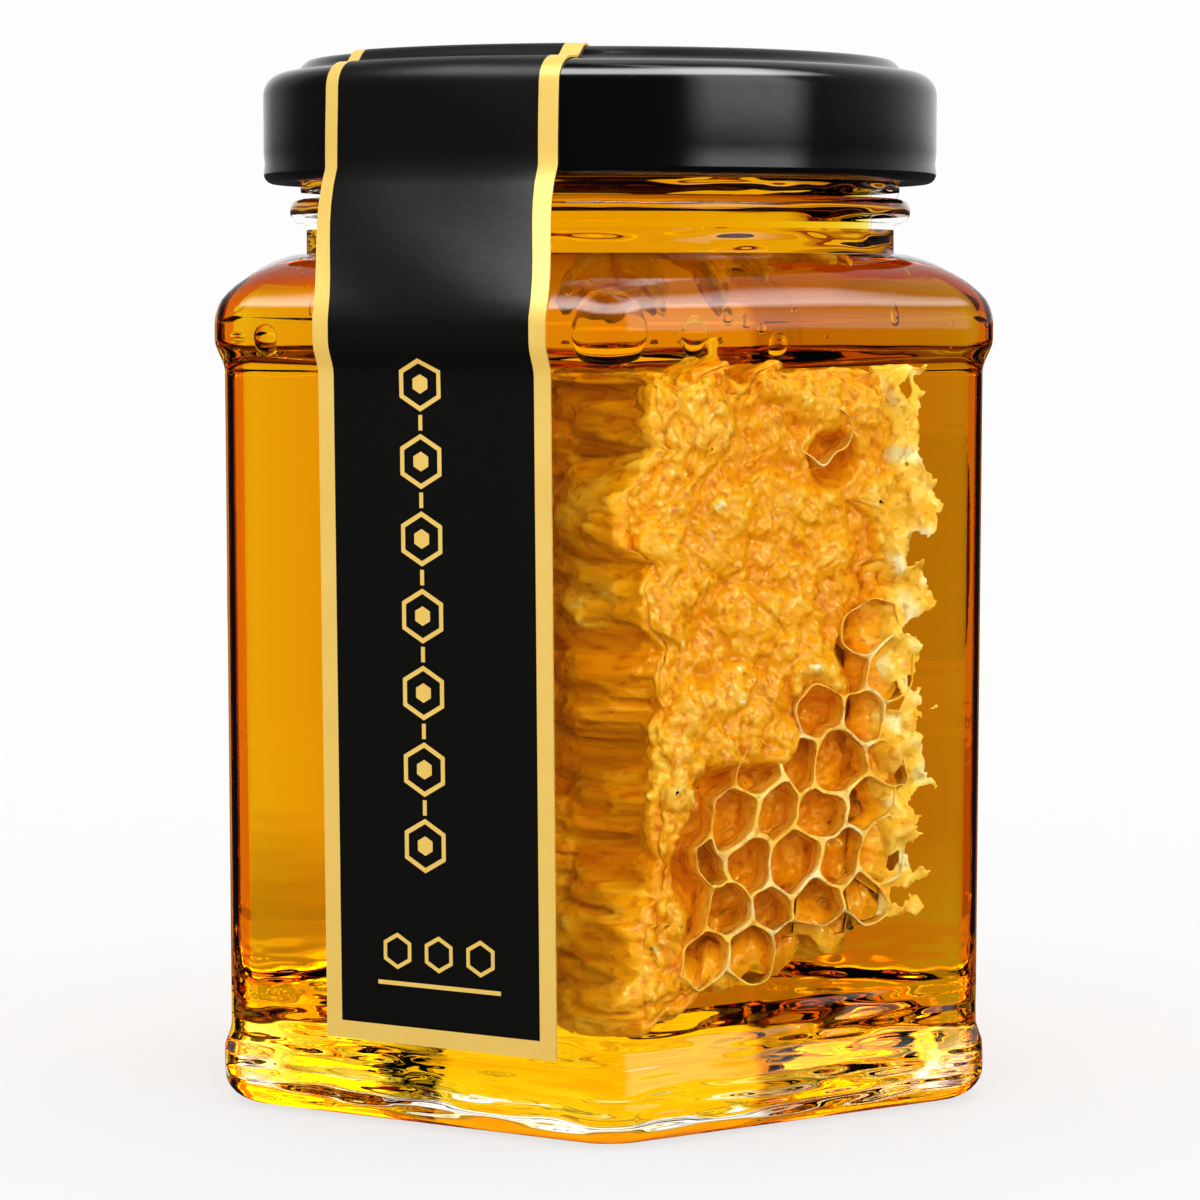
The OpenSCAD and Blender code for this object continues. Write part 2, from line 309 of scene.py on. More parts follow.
def arc(middle: tuple[float, float], radius: float, start: float, end: float, steps: int) -> list:
    """Return points along an arc.

    Args:
        middle: centre of the arc.
        radius: radius of the arc.
        start: first angle in degrees.
        end: last angle in degrees.
        steps: number of steps between the two.

    Returns:
        The points as (radius, height).
    """
    angles = [math.radians(mix(start, end, step / steps)) for step in range(steps + 1)]
    return [(middle[0] + radius * math.cos(a), middle[1] + radius * math.sin(a)) for a in angles]


# ---------------------------------------------------------------- finishes


class Shade:
    """A material under construction: one Principled shader and the nodes that feed it."""

    def __init__(self, name: str) -> None:
        """Start a material with a Principled shader."""
        self.material = bpy.data.materials.new(name)
        self.material.use_nodes = True
        self.tree = self.material.node_tree
        self.tree.nodes.clear()
        self.out = self.tree.nodes.new("ShaderNodeOutputMaterial")
        self.shader = self.tree.nodes.new("ShaderNodeBsdfPrincipled")
        self.link(self.shader.outputs["BSDF"], self.out.inputs["Surface"])

    def link(self, source: bpy.types.NodeSocket, target: bpy.types.NodeSocket) -> None:
        """Link two sockets."""
        self.tree.links.new(source, target)

    def set(self, **values: object) -> None:
        """Set sockets of the shader; an underscore in a key stands for a space."""
        for key, value in values.items():
            self.shader.inputs[key.replace("_", " ")].default_value = value

    def coordinates(self, output: str = "Object") -> bpy.types.NodeSocket:
        """Return the texture coordinates of the piece."""
        return self.tree.nodes.new("ShaderNodeTexCoord").outputs[output]

    def noise(self, scale: float, detail: float = 3, source: str = "Object") -> bpy.types.NodeSocket:
        """Return noise with a number of waves per metre.

        Args:
            scale: waves per metre.
            detail: number of finer layers.
            source: texture coordinates that it follows.

        Returns:
            The noise, from 0 to 1.
        """
        node = self.tree.nodes.new("ShaderNodeTexNoise")
        node.inputs["Scale"].default_value = scale
        node.inputs["Detail"].default_value = detail
        self.link(self.coordinates(source), node.inputs["Vector"])
        return node.outputs["Fac"]

    def cells(self, scale: float, feature: str = "F1") -> bpy.types.NodeSocket:
        """Return the distance within cells, with a number of cells per metre."""
        node = self.tree.nodes.new("ShaderNodeTexVoronoi")
        node.feature = feature
        node.inputs["Scale"].default_value = scale
        self.link(self.coordinates(), node.inputs["Vector"])
        return node.outputs["Distance"]

    def attribute(self, name: str) -> bpy.types.NodeSocket:
        """Return a value stored on the piece's vertices."""
        node = self.tree.nodes.new("ShaderNodeAttribute")
        node.attribute_name = name
        return node.outputs["Fac"]

    def ramp(self, source: bpy.types.NodeSocket, stops: list[tuple[float, Colour]]) -> bpy.types.NodeSocket:
        """Return a colour that follows a value.

        Args:
            source: the value.
            stops: places from 0 to 1 and their colours.

        Returns:
            The colour.
        """
        node = self.tree.nodes.new("ShaderNodeValToRGB")
        elements = node.color_ramp.elements
        while len(elements) < len(stops):
            elements.new(0.5)
        for element, (place, colour) in zip(elements, stops):
            element.position = place
            element.color = (*colour, 1)
        self.link(source, node.inputs["Fac"])
        return node.outputs["Color"]

    def bump(self, height: bpy.types.NodeSocket, distance: float, strength: float = 1.0) -> None:
        """Raise the surface by a height pattern, on top of any earlier one.

        Args:
            height: the pattern, from 0 to 1.
            distance: how high it stands, in metres.
            strength: share of the effect.
        """
        node = self.tree.nodes.new("ShaderNodeBump")
        node.inputs["Distance"].default_value = distance
        node.inputs["Strength"].default_value = strength
        earlier = self.shader.inputs["Normal"]
        if earlier.links:
            self.link(earlier.links[0].from_socket, node.inputs["Normal"])
        self.link(height, node.inputs["Height"])
        self.link(node.outputs["Normal"], earlier)


@dataclass(frozen=True)
class ClearGlass:
    """Clear moulded glass with a faint waviness."""

    name: str = "clear_glass"
    ior: float = 1.5
    wave: float = 0.012 * MM
    waves_per_metre: float = 70
    streaks_per_metre: float = 90
    streak_height: float = 0.9 * MM
    colour: Colour = (0.995, 1.0, 0.997)

    def make(self) -> bpy.types.Material:
        """Return the material."""
        shade = Shade(self.name)
        shade.set(Base_Color=(*self.colour, 1), Roughness=0.0, IOR=self.ior, Transmission_Weight=1.0)
        if self.wave > 0:
            shade.bump(shade.noise(self.waves_per_metre, 1), self.wave)
            split = shade.tree.nodes.new("ShaderNodeSeparateXYZ")
            shade.link(shade.coordinates(), split.inputs["Vector"])
            low = shade.ramp(self.span(shade, split.outputs["Z"]), [(0.07, (1, 1, 1)), (0.12, (0.04,) * 3),
                                                                      (0.76, (0.04,) * 3), (0.82, (0.7,) * 3)])
            stretched = shade.tree.nodes.new("ShaderNodeMapping")
            stretched.inputs["Scale"].default_value = (1, 1, 5)
            shade.link(shade.coordinates(), stretched.inputs["Vector"])
            streaks = shade.tree.nodes.new("ShaderNodeTexNoise")
            streaks.inputs["Scale"].default_value = self.streaks_per_metre
            streaks.inputs["Detail"].default_value = 1
            shade.link(stretched.outputs["Vector"], streaks.inputs["Vector"])
            height = shade.tree.nodes.new("ShaderNodeMath")
            height.operation = "MULTIPLY"
            shade.link(low, height.inputs[0])
            shade.link(streaks.outputs[0], height.inputs[1])
            shade.bump(height.outputs["Value"], self.streak_height)
        return shade.material

    @staticmethod
    def span(shade: Shade, value: bpy.types.NodeSocket) -> bpy.types.NodeSocket:
        """Return a height above the table as a share of 100 mm."""
        node = shade.tree.nodes.new("ShaderNodeMath")
        node.operation = "MULTIPLY"
        node.inputs[1].default_value = 10
        shade.link(value, node.inputs[0])
        return node.outputs["Value"]


@dataclass(frozen=True)
class ClearHoney:
    """Clear amber honey that takes its colour from its depth.

    Attributes:
        tint: colour that the honey lets through.
        density: strength of the tint per metre.
    """

    name: str = "clear_honey"
    ior: float = 1.001
    tint: Colour = (0.981, 0.862, 0.0)
    density: float = 150

    def make(self) -> bpy.types.Material:
        """Return the material."""
        shade = Shade(self.name)
        shade.set(Base_Color=(1, 1, 1, 1), Roughness=0.0, IOR=self.ior, Transmission_Weight=1.0)
        volume = shade.tree.nodes.new("ShaderNodeVolumeAbsorption")
        volume.inputs["Color"].default_value = (*self.tint, 1)
        volume.inputs["Density"].default_value = self.density
        shade.link(volume.outputs["Volume"], shade.out.inputs["Volume"])
        shade.bump(shade.noise(60, 1), 0.01 * MM)
        return shade.material


@dataclass(frozen=True)
class BlackLacquer:
    """Black lacquer on sheet metal, with a fine orange peel."""

    name: str = "black_lacquer"
    colour: Colour = (0.0008, 0.0008, 0.0009)

    def make(self) -> bpy.types.Material:
        """Return the material."""
        shade = Shade(self.name)
        shade.set(Base_Color=(*self.colour, 1), Roughness=0.16, IOR=1.5)
        shade.set(Coat_Weight=0.6, Coat_Roughness=0.08)
        tone = shade.ramp(shade.noise(900, 2), [(0.3, (0.13,) * 3), (0.7, (0.19,) * 3)])
        shade.link(tone, shade.shader.inputs["Roughness"])
        shade.bump(shade.noise(700, 2), 0.006 * MM)
        return shade.material


@dataclass(frozen=True)
class BlackPaper:
    """Satin black paper with a soft worm-like grain."""

    name: str = "black_paper"
    colour: Colour = (0.0032, 0.0033, 0.003)

    def make(self) -> bpy.types.Material:
        """Return the material."""
        shade = Shade(self.name)
        tone = shade.ramp(shade.noise(2500, 3), [(0.3, self.colour), (0.7, tuple(c * 1.35 for c in self.colour))])
        shade.link(tone, shade.shader.inputs["Base Color"])
        shade.set(Roughness=0.36, IOR=1.45, Specular_IOR_Level=0.3)
        shade.bump(shade.noise(1500, 1), 0.02 * MM, 0.5)
        shade.bump(shade.noise(160, 2), 0.15 * MM, 0.35)
        return shade.material


@dataclass(frozen=True)
class GoldInk:
    """Satin gold print."""

    name: str = "gold_ink"
    light: Colour = (1.0, 0.70, 0.16)
    dark: Colour = (0.97, 0.65, 0.135)

    def make(self) -> bpy.types.Material:
        """Return the material."""
        shade = Shade(self.name)
        tone = shade.ramp(shade.noise(180, 3), [(0.3, self.dark), (0.7, self.light)])
        shade.link(tone, shade.shader.inputs["Base Color"])
        shade.set(Metallic=0.1, Roughness=0.35)
        shade.bump(shade.noise(3000, 2), 0.004 * MM, 0.6)
        return shade.material


@dataclass(frozen=True)
class Beeswax:
    """Wax soaked in honey, with painted shade and painted glints: pale where it stands proud and amber where it lies
    deep in the creases, plus white painted glints.
    """

    name: str = "beeswax"
    # Colours run from the painted shade in the creases (deep) to the pale proud lumps and the white painted glints.
    deep: Colour = (0.80, 0.27, 0.002)
    middle: Colour = (0.93, 0.45, 0.012)
    pale: Colour = (1.0, 0.66, 0.13)
    painted_glint: Colour = (1.0, 0.93, 0.8)

    def make(self) -> bpy.types.Material:
        """Return the material."""
        shade = Shade(self.name)
        # The stored value runs from painted shade in the creases, through a random tone, to white painted glints.
        tone_shade_and_glint = shade.attribute("tone_shade_and_glint")
        tone = shade.ramp(tone_shade_and_glint, [(0.0, self.deep), (0.45, self.middle), (0.82, self.pale), (1.0, self.painted_glint)])
        blend = shade.tree.nodes.new("ShaderNodeMixRGB")
        blend.blend_type = "MULTIPLY"
        blend.inputs["Fac"].default_value = 0.8
        specks = shade.ramp(shade.noise(1100, 3), [(0.33, (0.75, 0.5, 0.3)), (0.45, (1, 1, 1))])
        shade.link(tone, blend.inputs["Color1"])
        shade.link(specks, blend.inputs["Color2"])
        shade.link(blend.outputs["Color"], shade.shader.inputs["Base Color"])
        shade.set(Roughness=0.12, IOR=1.45, Specular_IOR_Level=0.9, Subsurface_Weight=0.15)
        shade.set(Subsurface_Scale=0.0015, Subsurface_Radius=(1.0, 0.6, 0.15))
        shade.bump(shade.cells(700), 0.25 * MM, 0.8)
        shade.bump(shade.noise(2000, 3), 0.1 * MM, 0.7)
        return shade.material


@dataclass(frozen=True)
class PaleFloor:
    """Matt white studio floor that glows evenly for the camera; for all other rays its glow is painted shade, dim and
    warm to the left of the jar and close to it.

    Attributes:
        glow: strength of its own light for the camera.
        glow_left: its light seen through the glass, far to the left of the jar.
        glow_near: the same close to the jar.
        glow_right: the same far to the right.
    """

    name: str = "pale_floor"
    colour: Colour = (0.272, 0.272, 0.271)
    glow: float = 0.645
    glow_left: Colour = (0.26, 0.1, 0.02)
    glow_near: Colour = (0.3, 0.27, 0.24)
    glow_right: Colour = (0.66, 0.66, 0.66)
    reach: float = 0.1

    def make(self) -> bpy.types.Material:
        """Return the material."""
        shade = Shade(self.name)
        tone = shade.ramp(shade.noise(4, 2), [(0.3, tuple(c * 0.998 for c in self.colour)), (0.7, self.colour)])
        shade.link(tone, shade.shader.inputs["Base Color"])
        shade.set(Roughness=0.9, Specular_IOR_Level=0.0, Emission_Strength=1.0)
        split = shade.tree.nodes.new("ShaderNodeSeparateXYZ")
        side = shade.tree.nodes.new("ShaderNodeMapRange")
        shade.link(shade.coordinates(), split.inputs["Vector"])
        shade.link(split.outputs["X"], side.inputs["Value"])
        side.inputs["From Min"].default_value = -self.reach
        side.inputs["From Max"].default_value = self.reach
        # Painted shade seen through the jar: for rays other than camera rays the floor glows dimmer and warmer to the
        # left and near the jar.
        through = shade.ramp(side.outputs["Result"], [(0.2, self.glow_left), (0.42, self.glow_near),
                                                      (0.7, self.glow_near), (0.95, self.glow_right)])
        path = shade.tree.nodes.new("ShaderNodeLightPath")
        blend = shade.tree.nodes.new("ShaderNodeMixRGB")
        blend.inputs["Color2"].default_value = (self.glow, self.glow, self.glow * 0.998, 1)
        shade.link(path.outputs["Is Camera Ray"], blend.inputs["Fac"])
        shade.link(through, blend.inputs["Color1"])
        shade.link(blend.outputs["Color"], shade.shader.inputs["Emission Color"])
        return shade.material


# ---------------------------------------------------------------- glass and honey


@dataclass
class GlassJar:
    """The hexagonal jar, with its honey drawn from the same inner rings.

    Attributes:
        height: height of the rim.
        band_apothem: distance of the shoulder band from the middle, at the flats.
        honey_level: height that the honey reaches in the neck.
        floor_height: thickness of the glass under the honey.
    """

    height: float
    band_apothem: float
    honey_level: float
    floor_height: float
    band_projection: float = 0.9 * MM
    foot_projection: float = 0.5 * MM
    draft: float = 0.14 * MM
    corner: float = 3.5 * MM
    wall: float = 3 * MM
    heel_radius: float = 3 * MM
    foot_height: float = 5.2 * MM
    flat_bottom: float = 7.5 * MM
    band_height: float = 1.5 * MM
    band_blend: float = 3 * MM
    shoulder_height: float = 6.5 * MM
    neck_height: float = 17 * MM
    neck_radius: float = 28.7 * MM
    neck_wall: float = 2.3 * MM
    neck_step: float = 0.55 * MM
    bead_drop: float = 12.9 * MM
    bead_height: float = 2.4 * MM
    bead_projection: float = 1.6 * MM
    rim_edge: float = 0.9 * MM
    floor_radius: float = 1.6 * MM
    dome_power: float = 1.8
    sink: float = 0.12 * MM

    def __post_init__(self) -> None:
        """Work out the heights and radii that follow from the driving sizes."""
        self.body_apothem = self.band_apothem - self.band_projection
        self.neck_foot = self.height - self.neck_height
        self.band_top = self.neck_foot - self.shoulder_height
        self.band_bottom = self.band_top - self.band_height
        self.flat_top = self.band_bottom - self.band_blend
        self.flat_foot = self.body_apothem - self.draft
        self.foot_apothem = self.body_apothem + self.foot_projection
        self.upper_neck = self.neck_radius + self.neck_step
        self.bore = self.neck_radius - self.neck_wall

    def dome(self, share: float) -> float:
        """Return the bow of the shoulder, 0 at the band to 1 at the neck."""
        return 1 - (1 - share**self.dome_power) ** (1 / self.dome_power)

    def shoulder_rings(self, low: Ring, high: Ring, steps: int) -> list[Ring]:
        """Return rings up a domed shoulder.

        Args:
            low: ring at the foot of the dome.
            high: ring at the neck.
            steps: number of steps.

        Returns:
            The rings, both ends included.
        """
        rings = []
        for step in range(steps + 1):
            share = math.sin(math.radians(90 * step / steps))
            bow = self.dome(share)
            height = mix(low.height, high.height, share)
            rings.append(Ring(height, mix(low.apothem, high.apothem, bow), mix(low.corner, high.corner, bow)))
        return rings

    def outer_rings(self) -> list[Ring]:
        """Return the rings of the outside, from the underside up to the rim."""
        corner = self.corner
        bearing = self.foot_apothem - self.heel_radius - 5 * MM
        rings = [
            Ring(0.8 * MM, bearing - 2 * MM, corner),
            Ring(0.6 * MM, bearing - 1.2 * MM, corner),
            Ring(0.1 * MM, bearing - 0.3 * MM, corner),
            Ring(0, bearing + 0.3 * MM, corner),
        ]
        for step in range(9):
            turn = math.radians(90 * step / 8)
            out = self.heel_radius * (1 - math.sin(turn))
            rings.append(Ring(self.heel_radius * (1 - math.cos(turn)), self.foot_apothem - out, corner))
        rings.append(Ring(self.foot_height - 0.6 * MM, self.foot_apothem, corner))
        for step in range(1, 7):
            share = step / 6
            height = mix(self.foot_height - 0.3 * MM, self.flat_bottom, share)
            rings.append(Ring(height, mix(self.foot_apothem, self.flat_foot, smooth(share)), corner))
        rings.append(Ring(self.flat_bottom + 1 * MM, self.flat_foot, corner))
        rings.append(Ring(self.flat_top - 1 * MM, self.body_apothem, corner))
        for step in range(7):
            share = step / 6
            height = mix(self.flat_top, self.band_bottom, share)
            rings.append(Ring(height, mix(self.body_apothem, self.band_apothem, smooth(share)), corner))
        low = Ring(self.band_top, self.band_apothem, corner)
        rings += self.shoulder_rings(low, Ring(self.neck_foot, self.neck_radius, self.neck_radius), 14)
        middle = self.height - self.bead_drop
        root = self.neck_radius + self.neck_step / 2
        rings.append(self.round(middle - self.bead_height * 0.75, self.neck_radius))
        for step in range(11):
            turn = math.radians(180 * step / 10)
            rings.append(
                self.round(
                    middle - self.bead_height / 2 * math.cos(turn),
                    mix(root, self.neck_radius + self.bead_projection, math.sin(turn) ** 0.8),
                )
            )
        rings.append(self.round(middle + self.bead_height * 0.8, self.upper_neck))
        rings += [self.round(mix(middle + self.bead_height, self.height - self.rim_edge, step / 4), self.upper_neck)
                  for step in range(5)]
        for step in range(1, 6):
            turn = math.radians(90 * step / 5)
            rings.append(
                self.round(
                    self.height - self.rim_edge * (1 - math.sin(turn)),
                    self.upper_neck - self.rim_edge * (1 - math.cos(turn)),
                )
            )
        return rings

    @staticmethod
    def round(height: float, radius: float) -> Ring:
        """Return a circular ring."""
        return Ring(height, radius, radius)

    def inner_rings(self) -> list[Ring]:
        """Return the rings of the inside, from the floor up to the neck's foot."""
        corner = self.corner - 0.5 * MM
        foot = self.flat_foot - self.wall
        rings = []
        for step in range(7):
            turn = math.radians(90 * step / 6)
            out = self.floor_radius * (1 - math.sin(turn))
            rings.append(Ring(self.floor_height + self.floor_radius * (1 - math.cos(turn)), foot - out, corner))
        low = Ring(self.band_bottom - 1.5 * MM, self.body_apothem - self.wall, corner)
        rings.append(Ring(low.height - 1 * MM, low.apothem, corner))
        rings += self.shoulder_rings(low, self.round(self.neck_foot - 0.6 * MM, self.bore), 12)
        return rings

    def build_glass(self) -> bpy.types.Object:
        """Return the jar: the outside and the inside, joined over the rim."""
        outer_rings = self.outer_rings()
        outer = RingStack("glass_outside", outer_rings[0])
        for ring in outer_rings[1:]:
            outer.draw_to(ring)
        outside = outer.finish(open_top=True)
        inner_rings = self.inner_rings()
        inner = RingStack("glass_inside", inner_rings[0])
        for ring in inner_rings[1:]:
            inner.draw_to(ring)
        inner.draw_to(self.round(self.honey_level, self.bore))
        inner.draw_to(self.round(self.height - self.rim_edge, self.bore))
        inner.draw_to(self.round(self.height - self.rim_edge * 0.3, self.bore + self.rim_edge * 0.25))
        inside = inner.finish(open_top=True)
        glass = Bench.join("jar_glass", [outside, inside])
        mesh = Bench.edit(glass)
        bpy.ops.mesh.select_all(action="DESELECT")
        bpy.ops.mesh.select_mode(type="EDGE")
        for edge in mesh.edges:
            edge.select = edge.is_boundary
        bmesh.update_edit_mesh(glass.data)
        bpy.ops.mesh.bridge_edge_loops()
        Bench.clear()
        Bench.face_outwards(glass)
        return glass

    def add_threads(self, glass: bpy.types.Object) -> None:
        """Unite the four ridges of the thread with the neck."""
        ridges = Thread(radius=self.upper_neck, foot=self.height - 9.95 * MM).build()
        Bench.apply(glass, "BOOLEAN", operation="UNION", solver="EXACT", object=ridges)
        bpy.data.objects.remove(ridges)

    def wet_inside(self, glass: bpy.types.Object) -> None:
        """Give the inner faces that the honey wets the second material."""
        for face in glass.data.polygons:
            middle = face.center
            below = middle.z < self.honey_level
            inwards = face.normal.x * middle.x + face.normal.y * middle.y < 0
            floor = face.normal.z > 0.5 and middle.z < self.floor_height + 1 * MM and middle.z > 2 * MM
            shoulder = middle.z > self.band_bottom and face.normal.z < -0.3 and middle.xy.length > self.bore
            near_wall = middle.xy.length < self.body_apothem / COS30 - self.wall * 0.6
            if below and near_wall and (inwards or floor or shoulder) and middle.z > 2 * MM:
                face.material_index = 1

    @staticmethod
    def crease_corners(glass: bpy.types.Object) -> None:
        """Mark the upright lines where the flats meet the rounded corners as sharp."""
        mesh = Bench.edit(glass)
        for edge in mesh.edges:
            if len(edge.link_faces) != 2 or edge.calc_face_angle(0) < math.radians(2):
                continue
            small, large = sorted(face.calc_area() for face in edge.link_faces)
            way = edge.verts[0].co - edge.verts[1].co
            if way.xy.length < 0.05 * abs(way.z) and large > 2.5 * small and way.length > 20 * MM:
                edge.smooth = False
        bmesh.update_edit_mesh(glass.data)
        bpy.ops.object.mode_set(mode="OBJECT")

    def build_honey(self) -> bpy.types.Object:
        """Return the honey, which reaches just into the glass."""
        rings = [ring.grown(self.sink) for ring in self.inner_rings()]
        first = rings[0]
        stack = RingStack("jar_honey", Ring(first.height - self.sink, first.apothem, first.corner))
        for ring in rings[1:]:
            stack.draw_to(ring)
        stack.draw_to(self.round(self.honey_level - 0.3 * MM, self.bore + self.sink))
        stack.draw_to(self.round(self.honey_level, self.bore + self.sink))
        honey = stack.finish(open_top=False)
        honey.data.name = "jar_honey"
        Bench.face_outwards(honey)
        return honey

    def build(self) -> list[bpy.types.Object]:
        """Return the glass and the honey, with their finishes."""
        glass = self.build_glass()
        self.add_threads(glass)
        glass.data.materials.append(ClearGlass().make())
        glass.data.materials.append(ClearGlass(name="wetted_glass", ior=1.002, wave=0).make())
        self.wet_inside(glass)
        Bench.smooth_shade(glass, 45)
        self.crease_corners(glass)
        Bench.level_normals(glass)
        honey = self.build_honey()
        honey.data.materials.append(ClearHoney().make())
        Bench.smooth_shade(honey, 45)
        Bench.level_normals(honey)
        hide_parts("glass_jar")
        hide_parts("honey")
        return [glass, honey]


@dataclass
class Thread:
    """The ridges on the neck that the lugs of the lid grip.

    Attributes:
        radius: radius of the neck.
        foot: height of the low end of each ridge.
    """

    radius: float
    foot: float
    starts: int = 4
    first: float = -52
    sweep: float = 76
    rise: float = 3.6 * MM
    half_height: float = 1 * MM
    projection: float = 1 * MM
    steps: int = 24

    def build(self) -> bpy.types.Object:
        """Return the four ridges as one mesh."""
        Bench.clear()
        bpy.ops.mesh.primitive_circle_add(vertices=10, radius=self.half_height, fill_type="NGON",
                                          rotation=(math.radians(90), 0, 0), enter_editmode=True)
        ridge = bpy.context.object
        ridge.name = "thread_ridge"
        Bench.clear()
        Bench.settle(ridge)
        Bench.edit(ridge)
        bpy.ops.mesh.select_all(action="SELECT")
        bpy.ops.transform.translate(value=(self.radius, 0, self.foot))
        turn = math.radians(self.sweep / self.steps)
        fade = [0.25, 0.6, 0.85] + [1.0] * (self.steps - 5) + [0.85, 0.6, 0.25]
        bpy.ops.transform.resize(value=(fade[0],) * 3, center_override=(self.radius, 0, self.foot))
        for step in range(1, self.steps + 1):
            climb = (0, 0, self.rise / self.steps)
            bpy.ops.mesh.extrude_region_move(TRANSFORM_OT_translate={"value": climb})
            bpy.ops.transform.rotate(value=-turn, orient_axis="Z", center_override=(0, 0, 0))
            place = self.place(step)
            scale = fade[step] / fade[step - 1]
            bpy.ops.transform.resize(value=(scale,) * 3, center_override=place)
        Bench.clear()
        Bench.face_outwards(ridge)
        copies = [ridge]
        for start in range(1, self.starts):
            Bench.pick(ridge)
            bpy.ops.object.duplicate()
            copy = bpy.context.object
            copy.rotation_euler.z = math.radians(360 / self.starts * start)
            copies.append(copy)
        joined = Bench.join("thread_ridges", copies)
        joined.rotation_euler.z = math.radians(self.first)
        Bench.settle(joined)
        return joined

    def place(self, step: int) -> Point:
        """Return the middle of the ridge after a number of steps."""
        mesh = bmesh.from_edit_mesh(bpy.context.object.data)
        picked = [vertex.co for vertex in mesh.verts if vertex.select]
        return tuple(sum((co for co in picked), Vector()) / len(picked))


@dataclass
class Bubbles:
    """Air bubbles that rest under the shoulder."""

    jar: GlassJar

    def build(self) -> bpy.types.Object:
        """Return all bubbles as one mesh."""
        chance = random.Random(7)
        inner = self.jar.body_apothem - self.jar.wall
        bubbles = []
        named = [(1.0, -0.6, 0.0, 2.4), (8.2, -0.8, 0.2, 1.35), (17.0, -1.5, 0.1, 0.95),
                 (-17.2, -1.2, 0.0, 1.2), (4.5, 0.9, 0.2, 0.55), (11.5, 0.4, 0.3, 0.6)]
        for across, drop, inset, radius in named:
            face = JarFace.RIGHT_FRONT if across > 0 else JarFace.LEFT_FRONT
            along = across - 18.5 if across > 0 else across
            height = self.jar.band_top + drop * MM
            point = face.place(along * MM, height, inner - (radius + inset) * MM)
            bubbles.append(self.blow(point, radius * MM))
        for _ in range(26):
            angle = math.radians(chance.uniform(-175, -5))
            radius = chance.uniform(0.12, 0.5) * MM
            distance = inner - radius - chance.uniform(0.3, 2.5) * MM
            height = self.jar.band_bottom + chance.uniform(0, 3.6) * MM
            middle = (distance * math.cos(angle), distance * math.sin(angle), height)
            bubbles.append(self.blow(Vector(middle), radius))
        joined = Bench.join("honey_bubbles", bubbles)
        joined.data.materials.append(ClearGlass(name="air_bubble", ior=1.06, wave=0).make())
        Bench.smooth_shade(joined, 60)
        return joined

    @staticmethod
    def blow(middle: Vector, radius: float) -> bpy.types.Object:
        """Return one slightly flattened bubble."""
        Bench.clear()
        bpy.ops.mesh.primitive_ico_sphere_add(subdivisions=3, radius=radius)
        bubble = bpy.context.object
        bubble.scale.z = 0.9
        bubble.location = middle
        Bench.settle(bubble)
        return bubble


# ---------------------------------------------------------------- lid


@dataclass
class Lid:
    """The twist-off lid.

    Attributes:
        radius: outer radius of the skirt.
        foot: height of the bottom of the skirt.
        crest: height of the stacking ring.
    """

    radius: float
    foot: float
    crest: float
    sheet: float = 0.4 * MM
    edge_radius: float = 2.2 * MM
    curl_radius: float = 1 * MM
    ring_rise: float = 1.2 * MM
    ring_inset: float = 4.5 * MM
    ring_half_width: float = 1.6 * MM
    panel_recess: float = 0.7 * MM
    lug_depth: float = 2.55 * MM
    lug_height: float = 1.3 * MM
    lug_directions: tuple[float, ...] = (7.3, 97.3, 187.3, 277.3)

    def outline(self) -> list[tuple[float, float]]:
        """Return the section from the middle of the top, round the edge and back inside."""
        top = self.crest - self.ring_rise
        panel = self.crest - self.panel_recess
        ring = self.radius - self.ring_inset
        points = [(0.4 * MM, panel), (8 * MM, panel), (ring - self.ring_half_width - 1 * MM, panel)]
        for step in range(9):
            share = step / 8
            points.append((ring - self.ring_half_width * (1 - share), mix(panel, self.crest, smooth(share))))
        for step in range(1, 9):
            share = step / 8
            points.append((ring + self.ring_half_width * share, mix(self.crest, top, smooth(share))))
        edge = (self.radius - self.edge_radius, top - self.edge_radius)
        points += arc(edge, self.edge_radius, 90, 0, 12)
        curl = (self.radius - self.curl_radius, self.foot + self.curl_radius)
        points.append((self.radius, curl[1] + 2 * MM))
        points.append((self.radius - 0.12 * MM, curl[1] + 0.9 * MM))
        points += arc(curl, self.curl_radius, 0, -180, 12)
        points += [(curl[0] - self.curl_radius * 0.5, curl[1] + 0.8 * MM)]
        points += [(self.radius - self.sheet, curl[1] + 1.4 * MM)]
        points += arc(edge, self.edge_radius - self.sheet, 0, 90, 6)
        points += [(8 * MM, top - self.sheet), (0.4 * MM, top - self.sheet)]
        return points

    def lug(self, direction: float) -> bpy.types.Object:
        """Return one lug of the skirt's rolled edge, in a direction in degrees."""
        Bench.clear()
        bpy.ops.mesh.primitive_cube_add(size=1)
        lug = bpy.context.object
        lug.scale = (self.lug_depth, 7.5 * MM, self.lug_height)
        Bench.settle(lug)
        Bench.apply(lug, "BEVEL", width=0.45 * MM, segments=3)
        reach = self.radius - self.sheet - self.lug_depth / 2
        lug.location = (reach, 0, self.foot + 0.9 * MM)
        Bench.settle(lug)
        lug.rotation_euler.z = math.radians(direction)
        Bench.settle(lug)
        return lug

    def build(self) -> bpy.types.Object:
        """Return the lid with its lugs and its lacquer."""
        shell = turned("lid_shell", self.outline())
        lid = Bench.join("lid_lacquered", [shell] + [self.lug(angle) for angle in self.lug_directions])
        lid.data.materials.append(BlackLacquer().make())
        Bench.smooth_shade(lid, 50)
        Bench.level_normals(lid)
        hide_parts("lid")
        return lid


# ---------------------------------------------------------------- paper


@dataclass(frozen=True)
class Station:
    """A place along the seal strip.

    Attributes:
        distance: distance from the middle of the jar.
        height: height above the table.
        round: whether the strip follows a round surface there.
    """

    distance: float
    height: float
    round: bool = False


